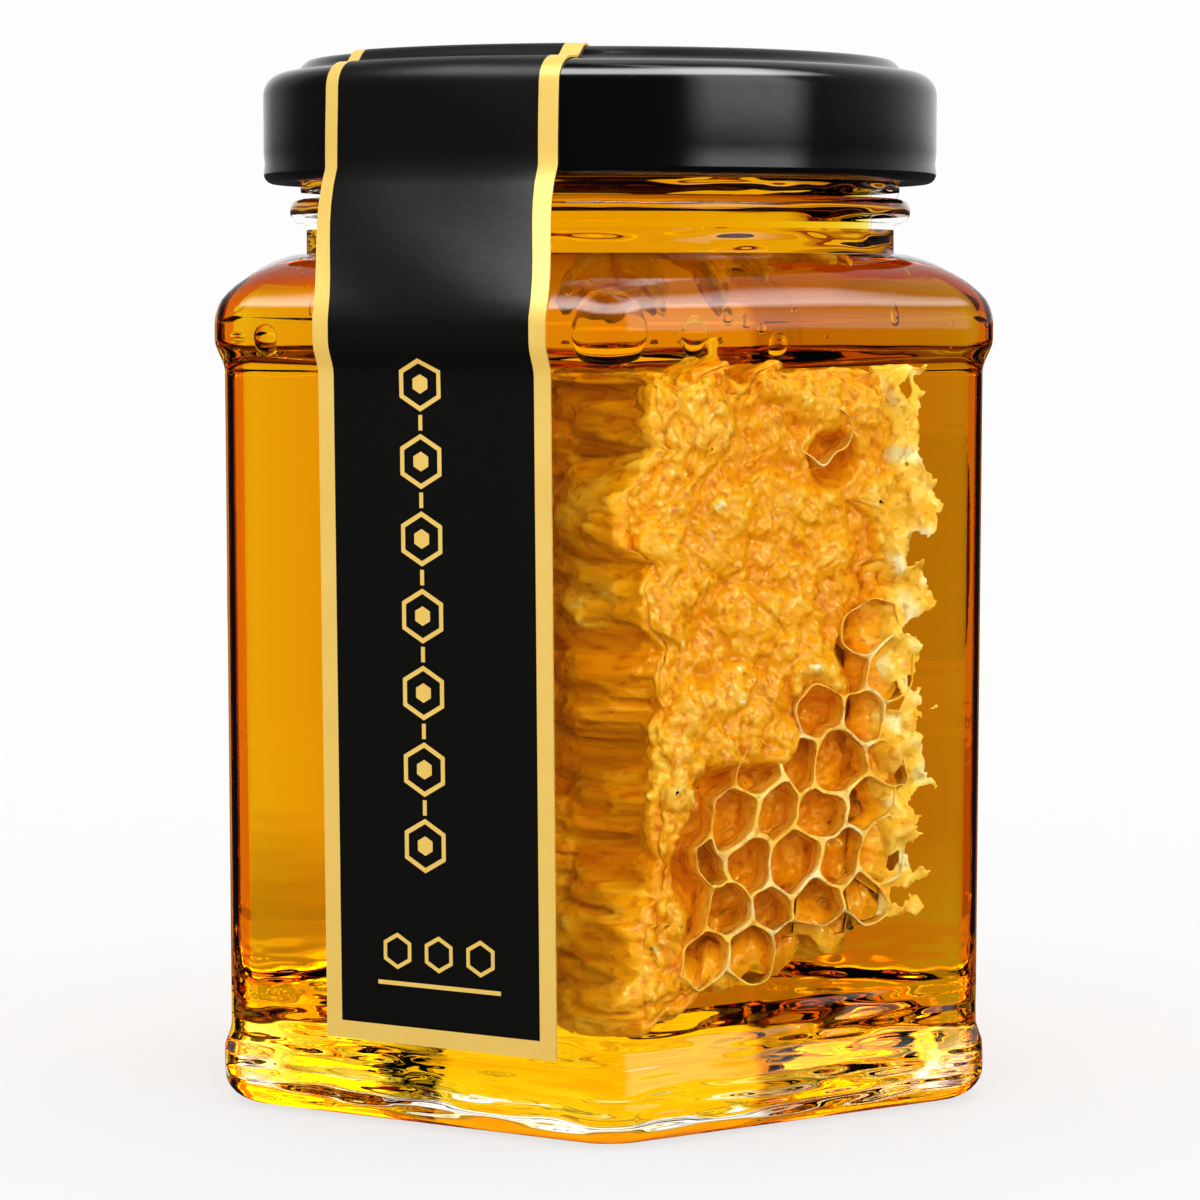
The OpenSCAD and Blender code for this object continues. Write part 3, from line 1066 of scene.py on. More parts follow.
@dataclass
class SealStrip:
    """The paper strip over the lid, black with a gold border and plain gold shapes."""

    jar: GlassJar
    lid: Lid
    width: float = 24.3 * MM
    paper: float = 0.2 * MM
    gap: float = 0.08 * MM
    border: float = 1.65 * MM
    tail: float = 14 * MM
    foot: float = 7.7 * MM
    shift_foot: float = 2.8 * MM
    shift_top: float = 2.3 * MM
    shift_lid: float = 0.3 * MM
    columns: int = 16
    step: float = 0.9 * MM
    stations: list[Station] = field(default_factory=list)

    def __post_init__(self) -> None:
        """Lay out the way of the strip from its foot to its end on the lid."""
        jar, lid = self.jar, self.lid
        way = [Station(jar.flat_foot, self.foot), Station(jar.body_apothem, jar.flat_top)]
        for step in range(1, 7):
            share = step / 6
            height = mix(jar.flat_top, jar.band_bottom, share)
            way.append(Station(mix(jar.body_apothem, jar.band_apothem, smooth(share)), height))
        top = lid.crest - lid.ring_rise
        curl_top = lid.foot + lid.curl_radius
        low = Ring(jar.band_top, jar.band_apothem, jar.corner)
        rings = jar.shoulder_rings(low, jar.round(jar.neck_foot, jar.neck_radius), 14)
        for ring, following in zip(rings, rings[1:]):
            way.append(Station(ring.apothem, ring.height))
            lean = (following.apothem - ring.apothem) / (following.height - ring.height)
            if lean < (lid.radius - ring.apothem) / (curl_top - ring.height):
                break
        way.append(Station(lid.radius, curl_top, True))
        for step in range(9):
            turn = math.radians(90 * step / 8)
            way.append(Station(lid.radius - lid.edge_radius * (1 - math.cos(turn)),
                               top - lid.edge_radius * (1 - math.sin(turn)), True))
        ring = lid.radius - lid.ring_inset
        panel = lid.crest - lid.panel_recess
        for step in range(9):
            share = step / 8
            way.append(Station(mix(ring + lid.ring_half_width, ring, share), mix(top, lid.crest, smooth(share)), True))
        for step in range(1, 7):
            share = step / 6
            way.append(Station(mix(ring, ring - lid.ring_half_width, share),
                               mix(lid.crest, panel, smooth(share)), True))
        way.append(Station(-self.tail, panel))
        self.stations = way

    def lengths(self) -> list[float]:
        """Return the distance along the strip of each station."""
        total = [0.0]
        for here, following in zip(self.stations, self.stations[1:]):
            step = math.hypot(following.distance - here.distance, following.height - here.height)
            total.append(total[-1] + step)
        return total

    def shift(self, height: float) -> float:
        """Return how far the strip's middle lies off the middle of its face at a height."""
        low = mix(self.shift_foot, self.shift_top, (height - self.foot) / (self.jar.band_top - self.foot))
        blend = smooth((height - self.jar.band_top) / (self.lid.foot - self.jar.band_top))
        return mix(low, self.shift_lid, blend)

    def wrap(self, across: float, along: float, lift: float) -> Vector:
        """Return where a point of the flat strip lies on the jar.

        Args:
            across: distance from the middle line, to the right.
            along: distance from the foot of the strip.
            lift: distance out from the surface.

        Returns:
            The point in the jar's frame.
        """
        marks = self.lengths()
        index = 0
        while index < len(marks) - 2 and along > marks[index + 1]:
            index += 1
        here, following = self.stations[index], self.stations[index + 1]
        share = (along - marks[index]) / (marks[index + 1] - marks[index])
        distance = mix(here.distance, following.distance, share)
        height = mix(here.height, following.height, share)
        lean = Vector((following.height - here.height, here.distance - following.distance)).normalized()
        distance += lift * lean.x
        height += lift * lean.y
        side = self.shift(height) + across
        if self.is_round(share, here, following):
            bend = mix(float(here.round), float(following.round), share)
            arched = math.sqrt(max(0.0, distance * distance - side * side))
            distance = mix(distance, arched, bend)
        return JarFace.LEFT_FRONT.place(side, height, distance)

    @staticmethod
    def is_round(share: float, here: Station, following: Station) -> bool:
        """Return whether the strip is bowed across between two stations."""
        return (here.round or following.round) and 0 <= share <= 1

    def sheet_grid(self) -> bpy.types.Object:
        """Return the flat strip, cut along its border lines and at its stations."""
        length = self.lengths()[-1]
        Bench.clear()
        bpy.ops.mesh.primitive_plane_add(size=1, enter_editmode=True)
        sheet = bpy.context.object
        bpy.ops.mesh.select_all(action="SELECT")
        bpy.ops.transform.resize(value=(self.width, length, 1))
        bpy.ops.transform.translate(value=(0, length / 2, 0))
        edge = self.width / 2 - self.border
        cuts = [mix(-edge, edge, column / self.columns) for column in range(self.columns + 1)]
        for place in cuts + [-edge - self.border / 2, edge + self.border / 2]:
            bpy.ops.mesh.select_all(action="SELECT")
            bpy.ops.mesh.bisect(plane_co=(place, 0, 0), plane_no=(1, 0, 0))
        marks = self.lengths()
        rows = [self.border] + marks[1:-1]
        for low, high in zip(marks, marks[1:]):
            count = int((high - low) / (self.step * 2))
            rows += [mix(low, high, part / (count + 1)) for part in range(1, count + 1)]
        for place in rows:
            bpy.ops.mesh.select_all(action="SELECT")
            bpy.ops.mesh.bisect(plane_co=(0, place, 0), plane_no=(0, 1, 0))
        Bench.clear()
        return sheet

    def dress(self, sheet: bpy.types.Object) -> None:
        """Give the border faces the gold print and the rest the black paper."""
        sheet.data.materials.append(BlackPaper().make())
        sheet.data.materials.append(GoldInk().make())
        edge = self.width / 2 - self.border
        for face in sheet.data.polygons:
            if abs(face.center.x) > edge or face.center.y < self.border:
                face.material_index = 1

    def wrinkle(self, along: float, across: float) -> float:
        """Return the height of the soft creases that the paper has between jar and lid."""
        marks = self.lengths()
        start = marks[7]
        free = smooth((along - start) / (6 * MM)) * smooth((marks[-18] + 2 * MM - along) / (8 * MM))
        fold = math.sin((along * 0.9 + across * 0.8) / (3.1 * MM)) * 0.12 * MM
        return max(0.0, free) * (fold + 0.12 * MM)

    def build(self) -> list[bpy.types.Object]:
        """Return the wrapped strip and the gold shapes on it."""
        sheet = self.sheet_grid()
        sheet.name = "seal_paper"
        self.dress(sheet)
        for vertex in sheet.data.vertices:
            across, along = vertex.co.x, vertex.co.y
            lift = self.gap + self.wrinkle(along, across)
            vertex.co = self.wrap(across, along, lift)
        Bench.face_outwards(sheet)
        Bench.apply(sheet, "SOLIDIFY", thickness=self.paper, offset=1)
        Bench.smooth_shade(sheet, 60)
        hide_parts("seal_strip")
        shapes = self.gold_shapes()
        return [sheet, shapes]

    def hexagon(self, across: float, along: float, radius: float, line: float, sides: int = 6) -> bpy.types.Object:
        """Return the outline of one flat hexagon on the strip's flat layout.

        Args:
            across: place across the strip.
            along: place along the strip.
            radius: distance of the corners from the middle.
            line: width of the line.
            sides: number of corners.

        Returns:
            The flat outline.
        """
        Bench.clear()
        bpy.ops.mesh.primitive_circle_add(vertices=sides, radius=radius, fill_type="NGON", enter_editmode=True)
        shape = bpy.context.object
        bpy.ops.mesh.select_all(action="SELECT")
        if line > 0:
            bpy.ops.mesh.inset(thickness=line)
            bpy.ops.mesh.delete(type="FACE")
        Bench.clear()
        shape.location = (across, along, 0)
        Bench.settle(shape)
        return shape

    def bar(self, across: float, along: float, width: float, length: float) -> bpy.types.Object:
        """Return one flat bar on the strip's flat layout."""
        Bench.clear()
        bpy.ops.mesh.primitive_plane_add(size=1, enter_editmode=True)
        shape = bpy.context.object
        bpy.ops.mesh.select_all(action="SELECT")
        bpy.ops.transform.resize(value=(width, length, 1))
        bpy.ops.mesh.subdivide(number_cuts=3)
        Bench.clear()
        shape.location = (across, along, 0)
        Bench.settle(shape)
        return shape

    def gold_shapes(self) -> bpy.types.Object:
        """Return a column of plain hexagons with a row of three under it."""
        middle = -1.3 * MM
        shapes = []
        pitch = 7.0 * MM
        for index in range(7):
            along = 15 * MM + pitch * (index + 0.5)
            shapes.append(self.hexagon(middle, along, 2.5 * MM, 0.42 * MM))
            shapes.append(self.hexagon(middle, along, 0.9 * MM, 0))
            if index < 6:
                shapes.append(self.bar(middle, along + pitch / 2, 0.4 * MM, pitch - 5.6 * MM))
        for offset in (-4.4, 0, 4.4):
            shapes.append(self.hexagon(offset * MM, 8.6 * MM, 1.7 * MM, 0.36 * MM))
        shapes.append(self.bar(0, 5.6 * MM, 13 * MM, 0.4 * MM))
        joined = Bench.join("seal_gold_shapes", shapes)
        for vertex in joined.data.vertices:
            vertex.co = self.wrap(vertex.co.x, vertex.co.y, self.gap + self.paper + 0.004 * MM)
        Bench.face_outwards(joined)
        for face in joined.data.polygons:
            if face.normal.dot(JarFace.LEFT_FRONT.outward()) < 0:
                face.flip()
        Bench.apply(joined, "SOLIDIFY", thickness=0.02 * MM, offset=1)
        joined.data.materials.append(GoldInk(name="gold_print").make())
        return joined


@dataclass
class RoundLabel:
    """The round label on the left side, with a pale rim round a plain olive field."""

    distance: float
    height: float
    diameter: float
    thickness: float = 0.2 * MM
    rim: float = 1.1 * MM

    def build(self) -> bpy.types.Object:
        """Return the label, dressed."""
        Bench.clear()
        bpy.ops.mesh.primitive_cylinder_add(vertices=96, radius=self.diameter / 2, depth=self.thickness,
                                            enter_editmode=True)
        label = bpy.context.object
        label.name = "side_label_print"
        mesh = bmesh.from_edit_mesh(label.data)
        bpy.ops.mesh.select_all(action="DESELECT")
        for face in mesh.faces:
            face.select = abs(face.normal.z) > 0.9
        bmesh.update_edit_mesh(label.data)
        bpy.ops.mesh.inset(thickness=self.rim, use_individual=True)
        Bench.clear()
        label.data.materials.append(GoldInk(name="label_rim", light=(0.62, 0.55, 0.36), dark=(0.5, 0.43, 0.25)).make())
        label.data.materials.append(OliveField().make())
        for face in label.data.polygons:
            if len(face.vertices) > 8:
                face.material_index = 1
        label.rotation_euler = (0, math.radians(-90), 0)
        label.location = JarFace.LEFT_SIDE.place(0, self.height, self.distance + self.thickness / 2)
        Bench.settle(label)
        Bench.smooth_shade(label, 30)
        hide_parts("side_label")
        return label


@dataclass(frozen=True)
class OliveField:
    """Olive-grey printed paper."""

    name: str = "olive_field"
    colour: Colour = (0.16, 0.13, 0.045)

    def make(self) -> bpy.types.Material:
        """Return the material."""
        shade = Shade(self.name)
        tone = shade.ramp(shade.noise(400, 3), [(0.3, self.colour), (0.7, tuple(c * 1.4 for c in self.colour))])
        shade.link(tone, shade.shader.inputs["Base Color"])
        shade.set(Roughness=0.45)
        shade.bump(shade.noise(2500, 2), 0.01 * MM, 0.5)
        return shade.material


# ---------------------------------------------------------------- comb


@dataclass
class Comb:
    """The piece of comb behind the right front face.

    Attributes:
        front: distance of its front from the middle of the jar.
        thickness: thickness of the slab.
        left: its left edge across the face.
        right: its right edge across the face.
        foot: height of its bottom at the left edge.
        top: height of its top.
        slant: how much higher the bottom is at the right edge.
    """

    front: float = 30.8 * MM
    thickness: float = 17 * MM
    left: float = -17.06 * MM
    right: float = 16.06 * MM
    foot: float = 9 * MM
    top: float = 70.5 * MM
    slant: float = 9 * MM
    grain: float = 0.32 * MM
    pitch: float = 5.0 * MM
    fringe: float = 3.2 * MM

    @staticmethod
    def lump(point: Vector, size: float) -> float:
        """Return round lumps of uneven height that meet in sharp creases.

        Args:
            point: place on the comb.
            size: distance between the lumps.

        Returns:
            The height, from 0 in the creases to about 1.3 on the highest lumps.
        """
        distances, middles = noise.voronoi(point / size)
        dome = math.sqrt(max(0.0, 1 - (distances[0] / 0.75) ** 2))
        return dome * (0.75 + 0.55 * noise.cell(middles[0] * 7.3))

    def shares(self, across: float, height: float) -> tuple[float, float]:
        """Return a place on the slab as shares of its width and of its height above the slanted foot."""
        share_x = (across - self.left) / (self.right - self.left)
        low = self.foot + self.slant * share_x
        return share_x, (height - low) / (self.top - low)

    def openness(self, across: float, height: float) -> float:
        """Return 1 where the cells are open, low on the right, and 0 where they are capped."""
        share_x, share_z = self.shares(across, height)
        wobble = 0.12 * noise.noise(Vector((across, height, 0)) * 130)
        low_right = min(share_x - 0.2, 0.36 + 0.1 * share_x - share_z) + wobble
        up_right = min(share_x - 0.72, 0.62 - share_z) + wobble
        spot = 0.1 - math.hypot((share_x - 0.68), (share_z - 0.84) * 1.8) + wobble * 0.3
        return smooth(max(low_right, up_right, spot) * 16)

    def relief_at(self, place: Vector) -> tuple[float, float]:
        """Return how far the wax stands out at a place, and how pale it is there: a random tone plus painted shade,
        pale on the lumps and dark in the creases.

        Args:
            place: place as (across, height, depth).

        Returns:
            The distance out from the slab's outline, and the paleness from 0 to 1, low in the creases as painted
            shade.
        """
        warped = place + noise.noise_vector(place * 140) * 1.0 * MM
        big = self.lump(warped, 8.5 * MM)
        middle = self.lump(warped + Vector((3, 1, 2)), 4.4 * MM)
        small = self.lump(place + Vector((1, 5, 2)), 1.4 * MM)
        fine = noise.fractal(place * 1700, 0.6, 2.0, 2)
        wide = noise.noise(place * 60)
        out = (1.0 * big + 1.15 * middle + 0.5 * small + 0.2 * fine + 0.9 * wide - 2.1) * MM
        # Paleness follows the lumps, pale on their tops and dark in the creases: painted shade over a random tone.
        paleness = 0.12 * big + 0.42 * middle + 0.36 * small + 0.3 * fine + 0.25 * wide
        return out, paleness

    def glint_at(self, place: Vector) -> float:
        """Return 1 on small painted glints scattered over the comb and on a few larger painted glints, and 0
        elsewhere.
        """
        distances, middles = noise.voronoi(place / (2.1 * MM))
        glint_share = smooth((0.2 - distances[0]) * 12) * (1.0 if noise.cell(middles[0] * 5.1) > 0.45 else 0.0)
        share_x, share_z = self.shares(place.x, place.y)
        # Larger painted glints at given spots, as shares of the slab's width and height.
        for spot_x, spot_z, reach in ((0.3, 0.9, 0.035), (0.29, 0.77, 0.045), (0.32, 0.55, 0.03), (0.8, 0.72, 0.03),
                                      (0.93, 0.6, 0.04), (0.08, 0.62, 0.025), (0.1, 0.12, 0.04)):
            away = math.hypot(share_x - spot_x, (share_z - spot_z) * 1.8)
            torn = 0.6 + 0.8 * noise.noise(place * 900)
            glint_share = max(glint_share, smooth((reach * torn - away) * 60))
        return glint_share

    @staticmethod
    def edge_shift(height: float, depth: float, seed: float) -> float:
        """Return the ragged offset of a side edge at a height and a depth."""
        point = Vector((seed, height, depth * 0.6))
        wide = noise.noise(point * 70)
        return (3.4 * Comb.lump(point, 7 * MM) - 2.2 + 2.4 * wide + 0.9 * Comb.lump(point, 2.6 * MM)) * MM

    def build_body(self) -> bpy.types.Object:
        """Return the mass of the comb."""
        Bench.clear()
        bpy.ops.mesh.primitive_cube_add(size=1, enter_editmode=True)
        body = bpy.context.object
        body.name = "comb_body"
        bpy.ops.mesh.select_all(action="SELECT")
        size = (self.right - self.left, self.thickness, self.top - self.foot)
        bpy.ops.transform.resize(value=size)
        for axis, length in enumerate(size):
            normal = tuple(1.0 if index == axis else 0.0 for index in range(3))
            count = round(length / (self.grain if axis != 1 else self.grain * 2))
            for cut in range(1, count):
                place = tuple(n * (cut / count - 0.5) * length for n in normal)
                bpy.ops.mesh.select_all(action="SELECT")
                bpy.ops.mesh.bisect(plane_co=place, plane_no=normal)
        Bench.clear()
        self.shape_body(body)
        return body

    def shape_body(self, body: bpy.types.Object) -> None:
        """Move each vertex of the block to its place on the rough comb and note its paleness, with painted shade in
        the creases and sunk cells and painted glints.
        """
        tone_shade_and_glint = body.data.attributes.new("tone_shade_and_glint", "FLOAT", "POINT")
        width, tall = self.right - self.left, self.top - self.foot
        for index, vertex in enumerate(body.data.vertices):
            share = Vector((vertex.co.x / width, -vertex.co.y / self.thickness, vertex.co.z / tall)) * 2
            share_x, depth, share_z = share.x / 2 + 0.5, 0.5 - share.y / 2, share.z / 2 + 0.5
            height = mix(self.foot + self.slant * share_x, self.top, share_z)
            height += 3.0 * MM * noise.noise(Vector((share_x * 9, share_z * 2, 5))) * share.z
            inwards = depth * self.thickness
            low = self.left + max(-0.2 * MM, 1.9 * MM - self.edge_shift(height, inwards, 1.0))
            high = self.right - max(0.0, 2.6 * MM - self.edge_shift(height, inwards, 8.0))
            across = mix(low, high, share_x)
            out = Vector([value**9 for value in share]).normalized()
            place = Vector((across, height, inwards))
            raised, paleness = self.relief_at(place)
            rounded = (1 - max(abs(value) for value in out)) * 5 * MM
            push = raised * (0.55 + 0.45 * abs(out.y)) - rounded
            # On the front, open cells sink in and are painted darker as shade in the hollows; painted glints are laid
            # over the rest.
            if depth < 0.05:
                sunk = self.openness(across, height)
                push -= sunk * 4 * MM
                paleness = mix(paleness, 0.1 + 0.4 * paleness, sunk)
                paleness = max(paleness, self.glint_at(place) * (1 - 0.7 * sunk))
            forward = self.front - place.z + out.y * push
            spot = JarFace.RIGHT_FRONT.place(across + out.x * push, height + out.z * push, min(forward, 32.2 * MM))
            vertex.co = spot
            # A value near 1 takes the white painted glint colour.
            tone_shade_and_glint.data[index].value = min(1.0, max(0.0, 0.82 * paleness if paleness < 0.97 else 1.0))

    def cell_rows(self) -> list[tuple[float, float]]:
        """Return the middles of the open cells, as (across, height)."""
        middles = []
        rows = int((self.top - self.foot) / (self.pitch * COS30))
        for row in range(rows):
            for column in range(8):
                across = self.left + 1.5 * MM + self.pitch * (column + (row % 2) / 2)
                height = self.foot + 2 * MM + row * self.pitch * COS30
                share = (across - self.left) / (self.right - self.left)
                lowest = self.foot + self.slant * share + 1.5 * MM
                if height > lowest and across < self.right - 2 * MM and self.openness(across, height) > 0.35:
                    middles.append((across, height))
        return middles

    def build_cells(self) -> bpy.types.Object:
        """Return the thin walls of the open cells as one lattice."""
        cells = []
        for across, height in self.cell_rows():
            Bench.clear()
            bpy.ops.mesh.primitive_circle_add(vertices=6, radius=self.pitch / 2 / COS30, fill_type="NGON",
                                              location=(across, height, 0))
            cells.append(bpy.context.object)
        lattice = Bench.join("comb_cells", cells)
        Bench.settle(lattice)
        mesh = Bench.edit(lattice)
        bpy.ops.mesh.select_all(action="SELECT")
        bpy.ops.mesh.remove_doubles(threshold=0.2 * MM)
        bpy.ops.mesh.select_all(action="SELECT")
        bpy.ops.mesh.inset(thickness=0.17 * MM, use_individual=True)
        bpy.ops.mesh.delete(type="FACE")
        bpy.ops.mesh.select_all(action="SELECT")
        bpy.ops.mesh.subdivide(number_cuts=2)
        bpy.ops.mesh.select_all(action="SELECT")
        bpy.ops.mesh.extrude_region_move(TRANSFORM_OT_translate={"value": (0, 0, -1.2 * MM)})
        for _ in range(3):
            bpy.ops.mesh.extrude_region_move(TRANSFORM_OT_translate={"value": (0, 0, -1.4 * MM)})
        Bench.clear()
        Bench.face_outwards(lattice)
        Bench.apply(lattice, "SUBSURF", levels=1, render_levels=1)
        tone_shade_and_glint = lattice.data.attributes.new("tone_shade_and_glint", "FLOAT", "POINT")
        for index, vertex in enumerate(lattice.data.vertices):
            across, height, depth = vertex.co
            place = Vector((across, height, 0))
            wobble = noise.noise_vector(place * 170) * 1.5 * MM + noise.noise_vector(place * 700) * 0.3 * MM
            deep = noise.noise_vector(Vector((across, height, depth)) * 260) * 0.4 * MM
            out = self.front - 0.6 * MM + depth + 0.5 * MM * noise.noise(place * 70) + wobble.z * 0.4
            vertex.co = JarFace.RIGHT_FRONT.place(across + wobble.x + deep.x, height + wobble.y + deep.y, out)
            # Cell walls pale at the rim and darker deeper in the cell: painted shade in the hollows over a random
            # tone; the palest reach the painted glint colour.
            node = noise.noise(place * 330)
            tone_shade_and_glint.data[index].value = min(1.0, max(0.0, 0.84 + 0.3 * node + depth / (4.5 * MM) * 0.5))
        return lattice

    def build_shreds(self) -> bpy.types.Object:
        """Return the torn edge of wax on the right, full of holes."""
        Bench.clear()
        width, tall = 9 * MM, self.top - self.foot - self.slant
        bpy.ops.mesh.primitive_grid_add(x_subdivisions=30, y_subdivisions=170, size=1, enter_editmode=True)
        shreds = bpy.context.object
        shreds.name = "comb_shreds"
        bpy.ops.mesh.select_all(action="SELECT")
        bpy.ops.transform.resize(value=(width, tall, 1))
        bpy.ops.transform.translate(value=(self.right - width / 2 + self.fringe, self.foot + self.slant + tall / 2, 0))
        mesh = bmesh.from_edit_mesh(shreds.data)
        bpy.ops.mesh.select_all(action="DESELECT")
        bpy.ops.mesh.select_mode(type="FACE")
        for face in mesh.faces:
            face.select = self.is_torn(face.calc_center_median())
        bmesh.update_edit_mesh(shreds.data)
        bpy.ops.mesh.delete(type="FACE")
        Bench.clear()
        tone_shade_and_glint = shreds.data.attributes.new("tone_shade_and_glint", "FLOAT", "POINT")
        for index, vertex in enumerate(shreds.data.vertices):
            across, height = vertex.co.x, vertex.co.y
            place = Vector((across, height, 0))
            curl = noise.noise(place * 160) * 2.0 * MM + noise.noise(place * 520) * 0.9 * MM
            curl -= smooth((self.right - 3.4 * MM - across) / (3 * MM)) * 2.6 * MM
            jitter = noise.noise_vector(place * 1400) * 0.5 * MM
            vertex.co = JarFace.RIGHT_FRONT.place(across + jitter.x, height + jitter.y, self.front - 0.8 * MM + curl)
            tone_shade_and_glint.data[index].value = min(1.0, 0.74 + 0.5 * noise.noise(place * 400))
        Bench.apply(shreds, "SOLIDIFY", thickness=0.28 * MM, offset=0)
        Bench.apply(shreds, "SUBSURF", levels=1, render_levels=1)
        return shreds

    def is_torn(self, middle: Vector) -> bool:
        """Return whether the torn edge has a hole at a place of its flat layout."""
        place = Vector((middle.x, middle.y, 0))
        reach = (middle.x - (self.right + self.fringe - 9 * MM)) / (9 * MM)
        ragged = 0.62 + 0.5 * noise.noise(Vector((0, middle.y * 150, 9))) \
            + 0.3 * noise.noise(Vector((0, middle.y * 520, 2)))
        near = noise.voronoi(place / (3.0 * MM))[0]
        hole = near[1] - near[0] > 0.5 - 0.3 * reach
        return reach > ragged or hole

    def build(self) -> list[bpy.types.Object]:
        """Return the pieces of the comb, dressed."""
        wax = Beeswax().make()
        pieces = [self.build_body(), self.build_cells(), self.build_shreds()]
        for piece in pieces:
            Bench.face_outwards(piece)
            Bench.smooth_shade(piece, 180)
            piece.data.materials.append(wax)
        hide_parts("honeycomb")
        return pieces


# ---------------------------------------------------------------- studio


@dataclass
class Studio:
    """A white room with one soft box on the right, a pale floor and the camera.

    Attributes:
        distance: distance of the camera from the middle of the jar, over the table.
        eye: height of the camera.
        pitch: angle in degrees that it looks down.
        turn: angle in degrees that it stands to the left of the front corner.
        lens: focal length in millimetres.
    """

    distance: float = 379.6 * MM
    eye: float = 78.1 * MM
    pitch: float = 4.84
    turn: float = 1.4
    lens: float = 115.68
    white: float = 0.982
    floor_size: float = 0.5
    light: float = 1.25
    light_in_glass: float = 1.25
    key_in_glass: float = 4.5
    lamp: float = 16.0
    top_box: float = 8.0
    upper_gain: float = 0.7
    warm_side: Colour = (1.0, 0.74, 0.6)
    dim: float = 0.03

    def place_camera(self) -> None:
        """Create the camera."""
        data = bpy.data.cameras.new("camera")
        data.lens = self.lens
        data.sensor_width = 36
        data.clip_start = 0.01
        camera = bpy.data.objects.new("camera", data)
        turn = math.radians(self.turn)
        camera.location = (-self.distance * math.sin(turn), -self.distance * math.cos(turn), self.eye)
        camera.rotation_euler = (math.radians(90 - self.pitch), 0, -turn)
        bpy.context.scene.collection.objects.link(camera)
        bpy.context.scene.camera = camera

    def lay_floor(self) -> None:
        """Create the floor."""
        Bench.clear()
        bpy.ops.mesh.primitive_grid_add(x_subdivisions=8, y_subdivisions=8, size=self.floor_size)
        floor = bpy.context.object
        floor.name = "studio_floor"
        floor.data.materials.append(PaleFloor().make())
        floor.visible_glossy = False

    def light_room(self) -> None:
        """Create the world: what the camera, gloss, glass and matt surfaces each see of the room."""
        world = bpy.data.worlds.new("white_room")
        bpy.context.scene.world = world
        world.use_nodes = True
        world.cycles.sampling_method = "NONE"
        self.tree = world.node_tree
        self.tree.nodes.clear()
        path = self.tree.nodes.new("ShaderNodeLightPath")
        coordinates = self.tree.nodes.new("ShaderNodeTexCoord")
        split = self.tree.nodes.new("ShaderNodeSeparateXYZ")
        self.tree.links.new(coordinates.outputs["Generated"], split.inputs["Vector"])
        behind = self.math("MULTIPLY", split.outputs["Y"], -1)
        angle = self.math("ARCTAN2", split.outputs["X"], behind)
        around = self.math("ADD", self.math("DIVIDE", angle, 2 * math.pi), 0.5)
        height = split.outputs["Z"]
        above = self.rise(height, 0.004, 0.03)
        box = self.around_ramp(around, [(-180, 0.9), (-150, 0.25), (-125, 0.05), (26, 0.03), (36, 1.7),
                                        (64, 1.7), (74, 0.08), (108, 0.2), (150, 0.6), (180, 0.9)])
        top_across = self.around_ramp(around, [(-100, 0), (-75, 1), (75, 1), (100, 0)])
        top_up = self.math("MULTIPLY", self.rise(height, 0.55, 0.65), self.rise(height, 0.95, 0.85))
        top = self.math("MULTIPLY", self.math("MULTIPLY", top_across, top_up), self.top_box)
        gloss = self.math("ADD", self.blend(above, self.dim, box), top)
        glass = self.around_ramp(around, [(-180, 0.97), (-160, 0.97), (-148, 0.62), (-118, 0.6), (-100, 0.8),
                                          (0, 0.85), (38, 1.1), (62, 1.1), (82, 0.8), (92, 0.97), (180, 0.97)])
        lamp_across = self.around_ramp(around, [(-62, 0), (-54, 1), (-46, 1), (-38, 0), (38, 0), (44, 1), (58, 1),
                                                (64, 0)])
        lamp_up = self.math("MULTIPLY", self.rise(height, 0.3, 0.36), self.rise(height, 0.62, 0.54))
        lamp = self.math("MULTIPLY", self.math("MULTIPLY", lamp_across, lamp_up), self.lamp)
        raised = self.math("ADD", self.math("MULTIPLY", self.rise(height, 0.08, 0.3), self.upper_gain), 1)
        glass = self.math("ADD", self.math("MULTIPLY", glass, raised), lamp)
        warmth = self.around_ramp(around, [(-162, (1, 1, 1)), (-150, self.warm_side), (-116, self.warm_side),
                                           (-98, (1, 1, 1))])
        glass = self.multiply(glass, warmth)
        open_air = self.math("ADD", self.math("MULTIPLY", split.outputs["X"], 0.05), self.light)
        key_across = self.around_ramp(around, [(-130, 0), (-95, 0.8), (-30, 0.7), (15, 1), (75, 1), (95, 0)])
        key_up = self.math("MULTIPLY", self.rise(height, 0.0, 0.2), self.rise(height, 0.95, 0.8))
        key = self.math("MULTIPLY", self.math("MULTIPLY", key_across, key_up), self.key_in_glass)
        through = self.math("ADD", key, self.light_in_glass)
        matt = self.blend(path.outputs["Is Transmission Ray"], open_air, through)
        is_matt = self.math("GREATER_THAN", path.outputs["Diffuse Depth"], 0.5)
        mirrored = self.math("SUBTRACT", path.outputs["Is Glossy Ray"], path.outputs["Is Transmission Ray"])
        seen = self.choose(mirrored, glass, gloss)
        seen = self.choose(path.outputs["Is Camera Ray"], seen, self.white)
        seen = self.choose(is_matt, seen, matt)
        background = self.tree.nodes.new("ShaderNodeBackground")
        self.tree.links.new(seen, background.inputs["Color"])
        out = self.tree.nodes.new("ShaderNodeOutputWorld")
        self.tree.links.new(background.outputs["Background"], out.inputs["Surface"])

    def math(self, operation: str, first: object, second: object) -> bpy.types.NodeSocket:
        """Return the result of one sum; each side is a socket or a number."""
        node = self.tree.nodes.new("ShaderNodeMath")
        node.operation = operation
        for socket, value in zip(node.inputs, (first, second)):
            if isinstance(value, bpy.types.NodeSocket):
                self.tree.links.new(value, socket)
            else:
                socket.default_value = value
        return node.outputs["Value"]

